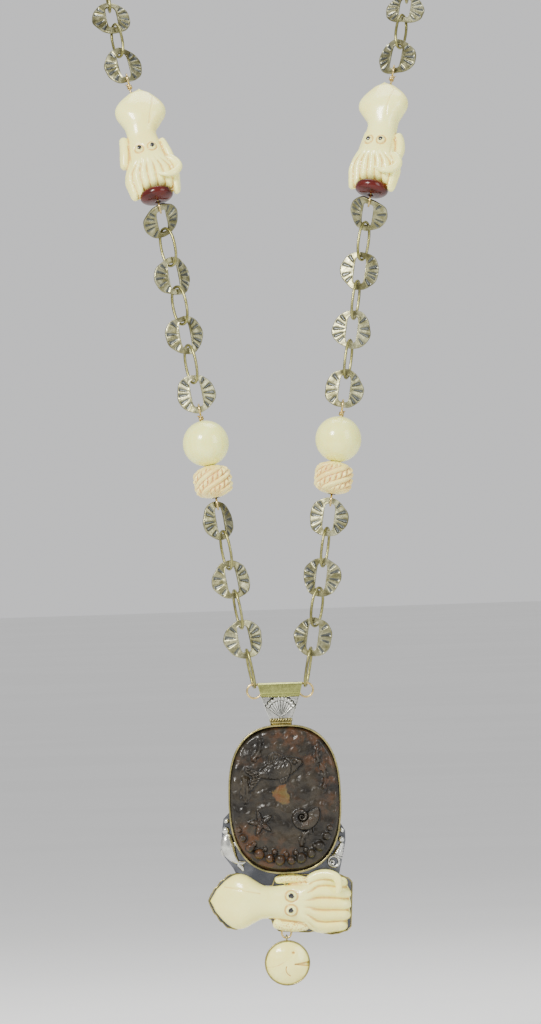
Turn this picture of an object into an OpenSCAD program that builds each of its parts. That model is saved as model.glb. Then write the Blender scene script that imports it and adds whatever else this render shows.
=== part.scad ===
// Long necklace: two strands of hammered disc links with bone beads, and a carved stone
// pendant that hangs free on two side rings. Millimetres, +Z up, the wearer looks along -Y.
// The origin is the middle of the neck, level with the sides of the neck loop.

/* [Strand] */
// Height of the neck's middle above the pendant's hinge
drop_z = 311.5; // [305:0.5:320]
// How far in front of the neck the pendant hangs
reach_y = 75; // [70:0.5:80]
// Distance from the middle to each strand's lowest link
hook_x = 10.1; // [10:0.1:10.3]

/* [Links] */
// Diameter of a disc link
disc_d = 15.6; // [15:0.1:16.2]
// Thickness of a disc link
disc_t = 1; // [0.8:0.1:1.1]
// Length of a disc link's slot
slot_len = 10.4; // [10:0.1:10.8]
// Width of a disc link's slot
slot_w = 4.2; // [4:0.1:4.8]
// Radius that a disc link is bowed to
bow_r = 20; // [16:1:30]
// Inner length of an oval link
oval_len = 13.9; // [13.8:0.1:14.2]
// Outer width of an oval link
oval_w = 8.3; // [7.8:0.1:8.8]
// Wire of an oval link
oval_wire = 1.15; // [1:0.05:1.2]

/* [Beads] */
// Diameter of the polished round bead
round_d = 18; // [17:0.1:18.2]
// Diameter of the spirally carved bead
carved_d = 15.5; // [14:0.1:16]
// Height of the spirally carved bead
carved_h = 12.8; // [12:0.1:13]
// Diameter of the red bead
red_d = 13; // [12:0.1:14]
// Height of the red bead
red_h = 5.6; // [5:0.1:5.8]
// Length of a squid bead
squid_len = 48; // [47:0.1:48.4]
// Width of a squid bead's mantle
squid_w = 19.5; // [18:0.1:21]
// Wire that the beads are strung on
bead_wire = 0.8; // [0.7:0.05:0.9]
// Hole through each bead
bore_d = 1.4; // [1.2:0.1:1.6]
// Inner diameter of a wire loop
loop_inner = 3.5; // [3.4:0.1:3.7]

/* [Pendant] */
// Outer diameter of the side rings
ring_d = 6.3; // [6:0.1:6.6]
// Wire of the side rings
ring_wire = 0.8; // [0.7:0.05:0.9]
// Width of the bail at its fold
bail_w = 17.7; // [17:0.1:18]
// Height of the bail below its fold
bail_h = 14.3; // [14:0.1:14.6]
// Width of the stone
stone_w = 42.2; // [40:0.1:44]
// Height of the stone
stone_h = 56.3; // [55:0.1:57]
// Wall of the stone's rim
rim_t = 0.75; // [0.6:0.05:1]
// Thickness of the back plate
plate_t = 1.2; // [1:0.1:1.5]
// Length of the pendant's squid
long_squid_len = 55.6; // [54:0.1:57]
// Width of the pendant squid's mantle
long_squid_w = 21.2; // [20:0.1:22]
// Outer diameter of the round drop
drop_d = 17.7; // [17:0.1:18.4]

/* [Hidden] */
$fn = 48;
// Play of a wire in the slot or ring that it hangs from
play = 0.35;
// Gap between pieces that sit together
fit = 0.1;
// Where a wire loop sinks into its coil
sink = 0.1;
half_slot = slot_len / 2;
half_pitch = oval_len / 2 - play + half_slot;
// The strand bends more behind the neck, so its links lie looser there
back_pitch = half_pitch - 0.3;

// Middle line of the right strand: the front stretch, then the stretch round the neck
FRONT = [[hook_x, -reach_y, -drop_z], [25, -70.5, -233.5], [35, -58.5, -143.5], [49.6, -45, -83.5]];
NECK = [FRONT[3], [63, -33.5, -28.5], [78, 66, 22], [0, 60, 19]];

// One row for each link from the pendant up: kind, step along the strand from the link
// below, how far it stands forward, how far its top tips forward, turn on each strand
STEP = 1;
FORWARD = 2;
TIP = 3;
TURN = 4;
hang = oval_len / 2 - ring_wire / 2 - play;
tipped = 47;
tipped_play = 0.6;
LINKS = [
    ["oval", hang, 0, 0, [80, 80]],
    ["disc", half_pitch, 0, 0, [-10, -12]],
    ["oval", half_pitch, 0, 0, [74, 55]],
    ["disc", half_pitch, 0, 0, [-14, -16]],
    ["oval", half_pitch, 0, 0, [62, 70]],
    ["disc", half_pitch, 0, 0, [-42, 2]],
    ["disc", 50.8, 0, 0, [-8, 4]],
    ["oval", half_pitch, 0, 0, [55, 70]],
    ["disc", half_pitch, 0, 0, [-16, 0]],
    ["oval", half_pitch, 0, 0, [42, 70]],
    ["disc", half_pitch, 0, 0, [-26, -4]],
    ["oval", half_pitch, 0, 0, [40, 56]],
    ["disc", oval_len / 2 - tipped_play + half_slot * cos(tipped), half_slot * sin(tipped), tipped, [-22, -14]],
    ["disc", 66.2, 0, 0, [-20, -24]],
    ["oval", half_pitch, 0, 0, [55, 55]],
    ["disc", half_pitch, 0, 0, [-16, -12]],
];
// Links of the hidden stretch on each side, an oval first and last
BACK_LINKS = 11;
back_turn_from = -85;
back_turn_step = 14;
oval_turn = 75;
DISC_UNDER_CARVED = 5;
DISC_OVER_ROUND = 6;
DISC_UNDER_RED = 12;
DISC_OVER_SQUID = 13;

brass = [0.58, 0.55, 0.36];
gold = [0.85, 0.7, 0.35];
bone = [0.93, 0.9, 0.78];
tan_bone = [0.86, 0.7, 0.48];
red_brown = [0.42, 0.1, 0.07];
silver = [0.7, 0.7, 0.68];
stone_brown = [0.24, 0.17, 0.13];
ink = [0.05, 0.05, 0.06];

NAMED_LINKS = [for (i = [0:len(LINKS) - 1]) link_name(i)];

function count_kind(i) = len([for (k = [0:i]) if (LINKS[k][0] == LINKS[i][0]) k]);
function link_name(i) = str(LINKS[i][0], "_", count_kind(i));

// Curves and places along a strand
function curve(p, t) = pow(1 - t, 3) * p[0] + 3 * t * pow(1 - t, 2) * p[1]
    + 3 * t * t * (1 - t) * p[2] + pow(t, 3) * p[3];
function curve_speed(p, t) = 3 * pow(1 - t, 2) * (p[1] - p[0]) + 6 * t * (1 - t) * (p[2] - p[1])
    + 3 * t * t * (p[3] - p[2]);
function place(u) = u < 1 ? curve(FRONT, u) : curve(NECK, u - 1);
function heading(u) = u < 1 ? curve_speed(FRONT, u) : curve_speed(NECK, u - 1);
function walk(u, length, steps = 24) =
    steps == 0 ? u : walk(u + length / steps / norm(heading(u)), length * (steps - 1) / steps, steps - 1);
function spin_x(v, a) = [v.x, v.y * cos(a) - v.z * sin(a), v.y * sin(a) + v.z * cos(a)];
function spin_y(v, b) = [v.x * cos(b) + v.z * sin(b), v.y, v.z * cos(b) - v.x * sin(b)];
function back_tilt(v) = -asin(v.y / norm(v));
function side_lean(v) = atan2(v.x, v.z);
function strand_point(u, local) =
    place(u) + spin_y(spin_x(local, back_tilt(heading(u))), side_lean(heading(u)));

STATIONS = [for (i = 0, u = walk(0, LINKS[0][STEP]); i < len(LINKS);
    i = i + 1, u = i < len(LINKS) ? walk(u, LINKS[i][STEP]) : u) u];
BACK_STATIONS = [for (i = 0, u = walk(STATIONS[len(LINKS) - 1], back_pitch); i < BACK_LINKS;
    i = i + 1, u = walk(u, back_pitch)) u];

// Middle of the wire loop that holds a disc: end is 1 at the disc's top and -1 at its foot
function loop_middle(i, end) = strand_point(STATIONS[i], [0, -LINKS[i][FORWARD], 0]
    + end * (half_slot + loop_inner / 2 - play) * [0, -sin(LINKS[i][TIP]), cos(LINKS[i][TIP])]);

module mirrored(side) {
    if (side == "left") mirror([1, 0, 0]) children();
    else children();
}

module along(v) {
    rotate([back_tilt(v), side_lean(v), 0]) children();
}

module on_strand(u, forward = 0, tip = 0, turn = 0) {
    translate(place(u)) along(heading(u)) translate([0, -forward, 0])
        rotate([tip, 0, 0]) rotate([0, 0, turn]) children();
}

// Links
module arc_wire(radius, wire, from, sweep) {
    rotate([0, 0, from]) rotate_extrude(angle = sweep) translate([radius, 0]) circle(d = wire, $fn = 32);
}

// A closed oval of wire in the XZ plane: a half round at each end and straight sides
module oval_link() {
    end_r = (oval_w - oval_wire) / 2;
    side_len = oval_len + oval_wire - 2 * end_r;
    rotate([90, 0, 0]) {
        for (s = [1, -1]) translate([0, s * side_len / 2, 0])
            arc_wire(end_r, oval_wire, s > 0 ? 0 : 180, 180);
        for (s = [1, -1]) translate([s * end_r, 0, 0]) rotate([90, 0, 0])
            cylinder(d = oval_wire, h = side_len, center = true, $fn = 32);
    }
}

// Hand-cut edge of a disc: a circle with a few soft corners, different on each disc
function disc_edge(a, seed) = disc_d / 2 * (0.975 + 0.03 * sin(3 * a + 47 * seed)
    + 0.018 * sin(5 * a + 31 * seed) + 0.008 * sin(9 * a + 83 * seed));

module slot_outline() {
    slot_r = slot_w / 2 - 0.6;
    for (x = [1, -1]) for (y = [1, -1])
        translate([x * (slot_w / 2 - slot_r), y * (half_slot - slot_r)]) circle(r = slot_r);
    square([slot_w, slot_len - 2 * slot_r], center = true);
    square([slot_w - 2 * slot_r, slot_len], center = true);
}

// A bowed and slotted disc with hammered rays on its face
module disc_link(seed) {
    rays = 14;
    ray_turn = 360 / rays;
    edge_turn = 9;
    rotate([90, 0, 0]) difference() {
        intersection() {
            translate([0, 0, -bow_r / 4]) linear_extrude(bow_r / 2) difference() {
                polygon([for (i = [0:360 / edge_turn - 1])
                    disc_edge(i * edge_turn, seed) * [cos(i * edge_turn), sin(i * edge_turn)]]);
                slot_outline();
            }
            translate([0, 0, -bow_r]) rotate([90, 0, 0]) difference() {
                cylinder(r = bow_r + disc_t / 2, h = 2 * disc_d, center = true);
                cylinder(r = bow_r - disc_t / 2, h = 3 * disc_d, center = true);
            }
        }
        for (i = [0:rays - 1]) {
            ray = (i + 0.5) * ray_turn;
            sag = bow_r - sqrt(bow_r * bow_r - pow(disc_d / 2 * cos(ray), 2));
            slope = atan2(sag + 0.12, disc_d / 2);
            if (abs(cos(ray)) > 0.3)
                rotate([0, 0, ray]) translate([0, 0, disc_t / 2]) rotate([0, slope, 0])
                    translate([3.3, 0, 0]) rotate([45, 0, 0]) cube([disc_d, 0.5, 0.5], center = false);
        }
    }
}

module strand_link(side, i) {
    turn = LINKS[i][TURN][side == "left" ? 0 : 1];
    color(brass) mirrored(side) on_strand(STATIONS[i], LINKS[i][FORWARD], LINKS[i][TIP], turn)
        if (LINKS[i][0] == "oval") oval_link();
        else disc_link(i + (side == "left" ? 0 : 20));
}

// The discs turn step by step from facing forward to lying flat against the neck
function back_turn(i) = min(0, back_turn_from + back_turn_step * (i + 1)) + (i % 2 == 0 ? oval_turn : 0);

module round_the_neck(u, turn) {
    v = heading(u);
    translate(place(u)) rotate([0, acos(v.z / norm(v)), atan2(v.y, v.x)]) rotate([0, 0, turn]) children();
}

module back_chain(side) {
    color(brass) mirrored(side) for (i = [0:BACK_LINKS - 1])
        round_the_neck(BACK_STATIONS[i], back_turn(i))
            if (i % 2 == 0) oval_link();
            else disc_link(i + 40);
}

// Bead groups: each is strung straight between two discs
function group_axis(lower, upper) = loop_middle(upper, -1) - loop_middle(lower, 1);

module bead_group(side, lower, upper) {
    mirrored(side) translate(loop_middle(lower, 1)) along(group_axis(lower, upper)) children();
}

module wire_loop() {
    rotate([0, 90, 0]) rotate_extrude() translate([(loop_inner + bead_wire) / 2, 0]) circle(d = bead_wire, $fn = 32);
}

// Wire through a group: a loop at each end and a wrapped coil over the top bead
module group_wire(length, beads_top) {
    coil_from = beads_top + 0.05;
    coil_to = length - loop_seat + sink;
    turns = floor((coil_to - coil_from) / bead_wire);
    coil_r = 0.95;
    for (z = [0, length]) translate([0, 0, z]) wire_loop();
    translate([0, 0, (loop_inner + bead_wire) / 2])
        cylinder(d = bead_wire, h = length - loop_inner - bead_wire);
    rotate_extrude() {
        translate([0, coil_from]) square([coil_r - bead_wire / 4, coil_to - coil_from]);
        for (k = [0:turns - 1]) translate([coil_r - bead_wire / 2, coil_from + (k + 0.5) * (coil_to - coil_from) / turns])
            circle(d = bead_wire, $fn = 24);
    }
}

module bore(length) {
    cylinder(d = bore_d, h = length + 2, center = true);
}

module round_bead() {
    color(bone) difference() {
        sphere(d = round_d, $fn = 64);
        bore(round_d);
    }
}

// Closed skin through rings of points, the first ring lowest and both end rings flat and convex
module skin(rings) {
    n = len(rings[0]);
    last = len(rings) - 1;
    points = [for (ring = rings) for (p = ring) p];
    sides = [for (k = [0:last - 1]) for (i = [0:n - 1]) let (j = (i + 1) % n)
        each [[k * n + i, (k + 1) * n + i, k * n + j], [k * n + j, (k + 1) * n + i, (k + 1) * n + j]]];
    ends = [[for (i = [0:n - 1]) i], [for (i = [0:n - 1]) last * n + n - 1 - i]];
    polyhedron(points, concat(sides, ends), convexity = 6);
}

// A barrel with slanting ridges, smooth and beaded in turn
module carved_bead() {
    sides = 40;
    levels = 12;
    bands = 5;
    ridge = 0.45;
    slant = 150;
    hole_mouth = 3;
    rings = [for (k = [0:levels]) let (
        t = k / levels * 2 - 1,
        z = t * carved_h / 2,
        barrel = carved_d / 2 - ridge - (carved_d / 2 - ridge - hole_mouth) * pow(abs(t), 4.5))
        [for (i = [0:sides - 1]) let (
            a = i * 360 / sides,
            wave = cos(bands * a - slant * t) * (1 - pow(abs(t), 6)),
            r = barrel + ridge * wave)
            [r * cos(a), r * sin(a), z]]];
    color(tan_bone) difference() {
        skin(rings);
        bore(carved_h);
    }
}

module red_bead() {
    edge_r = red_h / 2;
    color(red_brown) difference() {
        rotate_extrude($fn = 64) {
            translate([red_d / 2 - edge_r, 0]) intersection() {
                circle(r = edge_r);
                translate([0, -edge_r]) square([edge_r, 2 * edge_r]);
            }
            translate([0, -edge_r]) square([red_d / 2 - edge_r, 2 * edge_r]);
        }
        bore(red_h);
    }
}

// Squid: rows from the tentacle tips to the mantle's point, as shares of the length and of
// the mantle's half width: along, half width, front depth, back depth, depth of the grooves
SQUID = [
    [0.000, 0.90, 0.30, 0.22, 0.30],
    [0.040, 1.07, 0.41, 0.33, 0.34],
    [0.100, 1.13, 0.49, 0.40, 0.34],
    [0.140, 1.13, 0.52, 0.42, 0.32],
    [0.180, 1.08, 0.56, 0.45, 0.28],
    [0.230, 0.96, 0.58, 0.48, 0.22],
    [0.280, 0.78, 0.60, 0.50, 0.12],
    [0.330, 0.66, 0.63, 0.52, 0.00],
    [0.400, 0.60, 0.64, 0.52, 0.00],
    [0.460, 0.58, 0.62, 0.50, 0.00],
    [0.520, 0.54, 0.56, 0.46, 0.00],
    [0.590, 0.54, 0.53, 0.44, 0.00],
    [0.650, 0.60, 0.56, 0.46, 0.00],
    [0.710, 0.75, 0.63, 0.52, 0.00],
    [0.760, 0.91, 0.68, 0.56, 0.00],
    [0.810, 1.00, 0.70, 0.58, 0.00],
    [0.860, 0.95, 0.65, 0.53, 0.00],
    [0.910, 0.74, 0.52, 0.42, 0.00],
    [0.955, 0.46, 0.34, 0.28, 0.00],
    [0.985, 0.22, 0.17, 0.14, 0.00],
    [1.000, 0.07, 0.06, 0.05, 0.00],
];
// A squid bead starts at this row: below it only its two outer tentacles go on, beside the red bead
BEAD_ROW = 2;
squid_lobes = 7;
squid_front = 22;
squid_back = 8;
flat_bulge = 0.3;
eye_along = 0.43;
arm_from = 0.29;
arm_to = 0.53;

// Heights of the beads above the middle of their lower wire loop
loop_seat = loop_inner / 2 + bead_wire - sink;
carved_z = loop_seat + fit + carved_h / 2;
round_z = carved_z + carved_h / 2 + round_d / 2 - 0.15;
red_z = loop_seat + fit + red_h / 2;
squid_recess = SQUID[BEAD_ROW][0] * squid_len;
squid_z = red_z + red_h / 2 + fit - squid_recess + squid_len / 2;

function bulge(x) = pow(max(0, 1 - pow(abs(x), 2.4)), 1 / 2.4);
function groove(x, depth) = 1 - depth * pow(abs(cos(90 * squid_lobes * (x + 1))), 3);
function squid_ring(row, depth, length, half_w, flat_back) = concat(
    [for (i = [0:squid_front]) let (x = -cos(180 * i / squid_front))
        [x * row[1] * half_w, -bulge(x) * row[2] * half_w * groove(x, depth), (row[0] - 0.5) * length]],
    [for (i = [1:squid_back - 1]) let (x = cos(180 * i / squid_back))
        [x * row[1] * half_w, bulge(x) * (flat_back ? flat_bulge : row[3] * half_w), (row[0] - 0.5) * length]]);

module rod(length, d) {
    cylinder(d = d, h = length, center = true);
    for (s = [1, -1]) translate([0, 0, s * length / 2]) sphere(d = d);
}

function arm_d(half_w) = half_w * 0.42;
function arm_mid(length) = ((arm_from + arm_to) / 2 - 0.5) * length;
function arm_rod(length, half_w) = (arm_to - arm_from) * length - arm_d(half_w);
function arm_x(half_w) = half_w * 0.82;

// Carved squid, tentacles down, with an arm held in on each side of its head. Its lowest ring has
// no grooves, because the skin's flat end has to be convex
module squid(length, half_w, flat_back, first_row) {
    eye_d = 0.4 * half_w;
    skin([for (i = [first_row:len(SQUID) - 1]) let (depth = i > first_row ? SQUID[i][4] : 0)
        squid_ring(SQUID[i], depth, length, half_w, flat_back)]);
    for (s = [1, -1]) {
        translate([s * 0.25 * half_w, -0.56 * half_w, (eye_along - 0.5) * length]) sphere(d = eye_d);
        translate([s * arm_x(half_w), flat_back ? -arm_d(half_w) / 2 : 0, arm_mid(length)])
            rotate([0, s * 6, 0]) rod(arm_rod(length, half_w), arm_d(half_w));
    }
    translate([0.55 * half_w, -0.44 * half_w, (0.2 - 0.5) * length]) rotate([90, 0, 0])
        arc_wire(0.42 * half_w, 0.3 * half_w, -60, 200);
}

module squid_eyes(length, half_w) {
    pupil_d = 0.17 * half_w;
    color(ink) for (s = [1, -1]) translate([s * 0.25 * half_w, -0.75 * half_w, (eye_along - 0.5) * length])
        rotate([90, 0, 0]) cylinder(d = pupil_d, h = 0.5);
}

module squid_with_pupil_seats(length, half_w, flat_back, first_row) {
    pupil_d = 0.17 * half_w + 2 * 0.03;
    difference() {
        squid(length, half_w, flat_back, first_row);
        for (s = [1, -1]) translate([s * 0.25 * half_w, -0.75 * half_w + 0.03, (eye_along - 0.5) * length])
            rotate([90, 0, 0]) cylinder(d = pupil_d, h = 2);
    }
}

module squid_bead() {
    lobe_d = 3;
    lobe_len = squid_recess + 0.2;
    color(bone) {
        difference() {
            squid_with_pupil_seats(squid_len, squid_w / 2, false, BEAD_ROW);
            bore(squid_len);
        }
        for (s = [1, -1]) translate([s * (red_d / 2 + lobe_d / 2 + 2 * fit), 0, (lobe_len + lobe_d - squid_len) / 2])
            rod(lobe_len, lobe_d);
    }
}

module side_bead(side, name) {
    low = name == "carved_bead" || name == "round_bead" || name == "round_bead_wire";
    lower = low ? DISC_UNDER_CARVED : DISC_UNDER_RED;
    upper = low ? DISC_OVER_ROUND : DISC_OVER_SQUID;
    length = norm(group_axis(lower, upper));
    squid_turn = side == "left" ? -4 : -24;
    bead_group(side, lower, upper) {
        if (name == "carved_bead") translate([0, 0, carved_z]) carved_bead();
        if (name == "round_bead") translate([0, 0, round_z]) round_bead();
        if (name == "red_bead") translate([0, 0, red_z]) red_bead();
        if (name == "squid_bead")
            translate([0, 0, squid_z]) rotate([0, 0, squid_turn]) mirrored(side) squid_bead();
        if (name == "squid_bead_eyes")
            translate([0, 0, squid_z]) rotate([0, 0, squid_turn]) squid_eyes(squid_len, squid_w / 2);
        if (name == "round_bead_wire") color(gold) group_wire(length, round_z + round_d / 2);
        if (name == "squid_bead_wire") color(gold) group_wire(length, squid_z + squid_len / 2);
    }
}

// Clasp at the nape: a plain bar with an open hook at each end
module clasp() {
    hook_wire = 1.3;
    hook_r = 2.4;
    last = place(BACK_STATIONS[BACK_LINKS - 1]);
    reach = norm(last - NECK[3]) - oval_len / 2 + play;
    color(gold) translate(NECK[3]) {
        rotate([0, 90, 0]) cylinder(d = hook_wire, h = 2 * (reach - 2 * hook_r + hook_wire), center = true);
        for (s = [1, -1]) translate([s * (reach + hook_wire / 2 - hook_r), 0, 0])
            rotate([90, 0, 0]) rotate([0, 0, s > 0 ? 180 : 0]) arc_wire(hook_r, hook_wire, 0, 290);
    }
}

// Pendant: everything below hangs from the hinge line at z = 0, the front towards -Y
plate_y = 1.7;
stone_x = 0.5;
stone_z = -45;
squid_x = -2.4;
squid_drop = -85.3;
squid_slope = 3.2;
squid_y = plate_y - fit - flat_bulge;
drop_x = -0.5;
drop_drop = -108.8;
rim_front = plate_y - 4.7;
lower_ring_z = -97.2;
// The squid's part of the back plate lies this much inside the stone's part
inlay = 0.05;

module on_pendant() {
    translate([0, -reach_y, -drop_z]) children();
}

function rounded(a, half_w, half_h) = let (n = 2.6)
    [sign(cos(a)) * pow(abs(cos(a)), 2 / n) * half_w, sign(sin(a)) * pow(abs(sin(a)), 2 / n) * half_h];

module stone_outline(grow = 0) {
    turn = 5;
    polygon([for (i = [0:360 / turn - 1]) rounded(i * turn, stone_w / 2 + grow, stone_h / 2 + grow)]);
}

// Extrudes a front view from y = back forward to y = front
module slab(front, back) {
    translate([0, back, 0]) rotate([90, 0, 0]) linear_extrude(back - front) children();
}

module squid_outline(grow) {
    half_w = long_squid_w / 2;
    low = [for (row = SQUID) [row[1] * half_w + grow, (row[0] - 0.5) * (long_squid_len + 2 * grow)]];
    high = [for (i = [len(SQUID) - 1:-1:0]) [-low[i].x, low[i].y]];
    polygon(concat(low, high));
    for (s = [1, -1]) translate([s * arm_x(half_w), arm_mid(long_squid_len)]) rotate([0, 0, -s * 6]) {
        square([arm_d(half_w) + 2 * grow, arm_rod(long_squid_len, half_w)], center = true);
        for (t = [1, -1]) translate([0, t * arm_rod(long_squid_len, half_w) / 2])
            circle(d = arm_d(half_w) + 2 * grow);
    }
}

module at_squid() {
    translate([squid_x, 0, squid_drop]) rotate([0, squid_slope, 0]) rotate([0, -90, 0]) children();
}

// Lower part of the back plate: down the left side under the fish and up the right under the shell
WINGS = [[-17, -44], [-21.6, -50], [-23.6, -52], [-24.4, -57], [-24.6, -62], [-23.6, -67],
    [-20.4, -71.5], [-17.5, -78], [17.5, -80], [20.5, -76], [21.4, -72], [22.8, -66],
    [23.6, -62], [23.6, -58], [22.4, -56], [18, -48]];

module back_plate() {
    slab(plate_y, plate_y + plate_t) {
        translate([stone_x, stone_z]) stone_outline(rim_t + fit);
        polygon(WINGS);
    }
    at_squid() slab(plate_y + inlay, plate_y + plate_t - inlay) squid_outline(0.6);
}

module rims() {
    slab(rim_front, plate_y + plate_t / 2) translate([stone_x, stone_z]) difference() {
        stone_outline(rim_t + fit);
        stone_outline(fit);
    }
    at_squid() slab(plate_y - 2, plate_y + plate_t / 2) difference() {
        squid_outline(0.6);
        squid_outline(fit);
    }
}

// Folded strip: a small tube at the top and two leaves joined below it
module bail() {
    tube_r = 2.2;
    tube_z = 0.4 - tube_r;
    leaf_t = 2;
    foot_w = 8.4;
    intersection() {
        union() {
            difference() {
                translate([0, 0, tube_z]) rotate([0, 90, 0]) cylinder(r = tube_r, h = bail_w + 1, center = true);
                translate([0, 0, tube_z]) rotate([0, 90, 0]) cylinder(r = tube_r - 0.8, h = bail_w + 2, center = true);
            }
            translate([-bail_w / 2, -leaf_t / 2, -bail_h]) cube([bail_w, leaf_t, bail_h - 0.2 + tube_z - tube_r + 1.2]);
        }
        slab(-5, 5) polygon([[-bail_w / 2, 0.5], [-bail_w / 2 + 1.9, -7], [-bail_w / 2 + 3.1, -10.4],
            [-foot_w / 2, -bail_h], [foot_w / 2, -bail_h], [bail_w / 2 - 3.1, -10.4],
            [bail_w / 2 - 1.9, -7], [bail_w / 2, 0.5]]);
    }
}

// Scallop shell on the bail's front: a ribbed fan with its hinge at the foot
module bail_shell() {
    ribs = 9;
    fan = 104;
    fan_r = 9.2;
    hinge_z = -13.2;
    front = -2.2;
    translate([0, 0, hinge_z]) difference() {
        slab(front, 0) polygon(concat([[-1.6, -0.6]], [for (i = [0:ribs * 6]) let (
            share = i / (ribs * 6),
            a = 90 + fan / 2 - fan * share,
            r = fan_r * (0.94 + 0.06 * abs(sin(180 * ribs * share))) * (0.86 + 0.14 * sin(180 * share)))
            [r * cos(a), r * sin(a)]], [[1.6, -0.6]]));
        for (i = [1:ribs - 1]) rotate([0, fan / 2 - fan * i / ribs, 0])
            translate([0, front, 1.5]) rotate([0, 0, 45]) cube([0.55, 0.55, fan_r]);
    }
}

module side_rings() {
    ring_r = (ring_d - ring_wire) / 2;
    for (s = [1, -1]) translate([s * hook_x, 0, -ring_r]) rotate([90, 0, 0])
        rotate_extrude() translate([ring_r, 0]) circle(d = ring_wire, $fn = 32);
}

// Knuckle between the bail and the stone's rim
module knuckle() {
    knuckle_z = -15.1;
    translate([0, 0, knuckle_z]) rotate([0, 90, 0]) {
        cylinder(d = 3, h = 8.6, center = true);
        for (s = [1, -1]) translate([0, 0, s * 3.9]) cylinder(d = 3.5, h = 1, center = true);
    }
}

// Solder grains beside the rim: x, z, diameter
GRAINS = [[-22.4, -53, 2.1], [-22.8, -56.6, 3], [22.2, -57.9, 1.9], [21.9, -61.4, 2.5]];

module grains() {
    for (g = GRAINS) translate([g.x, plate_y - g.z * 0.3, g.y]) sphere(d = g.z);
}

// Leaping fish: rows along its bent middle line: x, z, half width, half depth
FISH = [[-22.3, -58.6, 0.7, 0.5], [-22.5, -60, 1.8, 1.2], [-22.4, -62, 2.6, 1.7], [-21.9, -64.2, 2.7, 1.8],
    [-21, -66.4, 2.2, 1.5], [-19.9, -68.2, 1.4, 1], [-18.6, -69.6, 0.7, 0.6]];

module leaping_fish() {
    n = 10;
    fish_y = plate_y - 0.6;
    rings = [for (k = [0:len(FISH) - 1]) let (
        row = FISH[k],
        before = FISH[max(0, k - 1)],
        after = FISH[min(len(FISH) - 1, k + 1)],
        along = [after.x - before.x, after.y - before.y] / norm([after.x - before.x, after.y - before.y]))
        [for (i = [0:n - 1]) let (a = 360 * i / n)
            [row.x - along.y * row[2] * cos(a), fish_y - row[3] * sin(a), row.y + along.x * row[2] * cos(a)]]];
    skin(rings);
    slab(fish_y - 0.6, plate_y + 0.3) polygon([[-19, -69], [-17.8, -69.8], [-15.6, -68.9], [-16.6, -70.4],
        [-16.4, -72.4], [-18.6, -70.8]]);
    slab(fish_y - 0.5, plate_y + 0.3) polygon([[-23.8, -64], [-24.4, -66.6], [-22.2, -66.2]]);
    slab(fish_y - 0.5, plate_y + 0.3) polygon([[-19.8, -63], [-18.2, -64.6], [-20.2, -65.4]]);
}

// Pointed spiral shell with a round lip
module spiral_shell() {
    tip = [21.9, -63.6];
    mouth = [19.4, -69];
    shell_y = plate_y - 0.9;
    run = mouth - tip;
    tilt = atan2(run.x, run.y);
    translate([tip.x, shell_y, tip.y]) rotate([0, tilt, 0]) {
        cylinder(r1 = 0.5, r2 = 2.2, h = norm(run));
        for (k = [1:4]) translate([0, 0, k * 1.15]) rotate_extrude()
            translate([0.5 + 1.7 * k * 1.15 / norm(run), 0]) circle(d = 0.5, $fn = 16);
    }
    translate([18.76, shell_y, -69.9]) rotate([90, 0, 0]) {
        rotate_extrude() translate([1.9, 0]) circle(d = 1.1, $fn = 24);
        cylinder(r = 1.9, h = 1.4, center = true);
    }
    translate([17.3, shell_y - 0.4, -70.8]) sphere(d = 2.7);
}

module lower_ring() {
    translate([drop_x, plate_y - 1.4, lower_ring_z]) rotate([90, 0, 0])
        rotate_extrude() translate([1.85, 0]) circle(d = 0.8, $fn = 32);
}

module setting() {
    color(silver) on_pendant() {
        back_plate();
        rims();
        bail();
        bail_shell();
        side_rings();
        knuckle();
        grains();
        leaping_fish();
        spiral_shell();
        lower_ring();
    }
}

// Stone: a low dome with a raised sea scene
stone_edge_y = plate_y - 5.8;
stone_crown_y = plate_y - 8;

// Pebbles of the sea bed: x, z from the stone's middle, radius
PEBBLES = [[-14, -18.5, 1.6], [-10.6, -21, 1.9], [-6.6, -22.8, 1.6], [-2.6, -23.6, 1.9], [1.8, -23.9, 1.5],
    [5.6, -23, 1.9], [9.6, -21.4, 1.6], [13, -18.6, 1.9], [-16.8, -14.6, 1.4], [15.8, -14.8, 1.5]];

module star(r) {
    slab(-1.5, 1) polygon([for (i = [0:9]) let (a = 90 + i * 36, q = i % 2 == 0 ? r : r * 0.42)
        [q * cos(a), q * sin(a)]]);
}

module relief_fish(length) {
    arc_r = length * 0.75;
    belly = length * 0.21;
    slab(-1.8, 1) intersection() {
        translate([0, belly - arc_r]) circle(r = arc_r, $fn = 96);
        translate([0, arc_r - belly]) circle(r = arc_r, $fn = 96);
    }
    slab(-1.3, 1) polygon([[-length * 0.4, 0], [-length * 0.66, length * 0.2], [-length * 0.58, 0],
        [-length * 0.66, -length * 0.2]]);
    translate([length * 0.28, -1.8, length * 0.05]) sphere(d = 1.3);
}

module nautilus(r) {
    step_up = 0.65;
    for (k = [0:2]) translate([k * r * 0.12, 0, -k * r * 0.08]) rotate([90, 0, 0])
        cylinder(r = r * (1 - 0.3 * k), h = 0.9 + k * step_up);
    slab(-1.1, 1) polygon([[r * 0.2, r * 0.95], [r * 1.3, r * 1.1], [r * 1.35, 0.2], [r * 0.6, 0]]);
}

module weed(radius, from, sweep) {
    rotate([90, 0, 0]) arc_wire(radius, 1.5, from, sweep);
}

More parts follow.
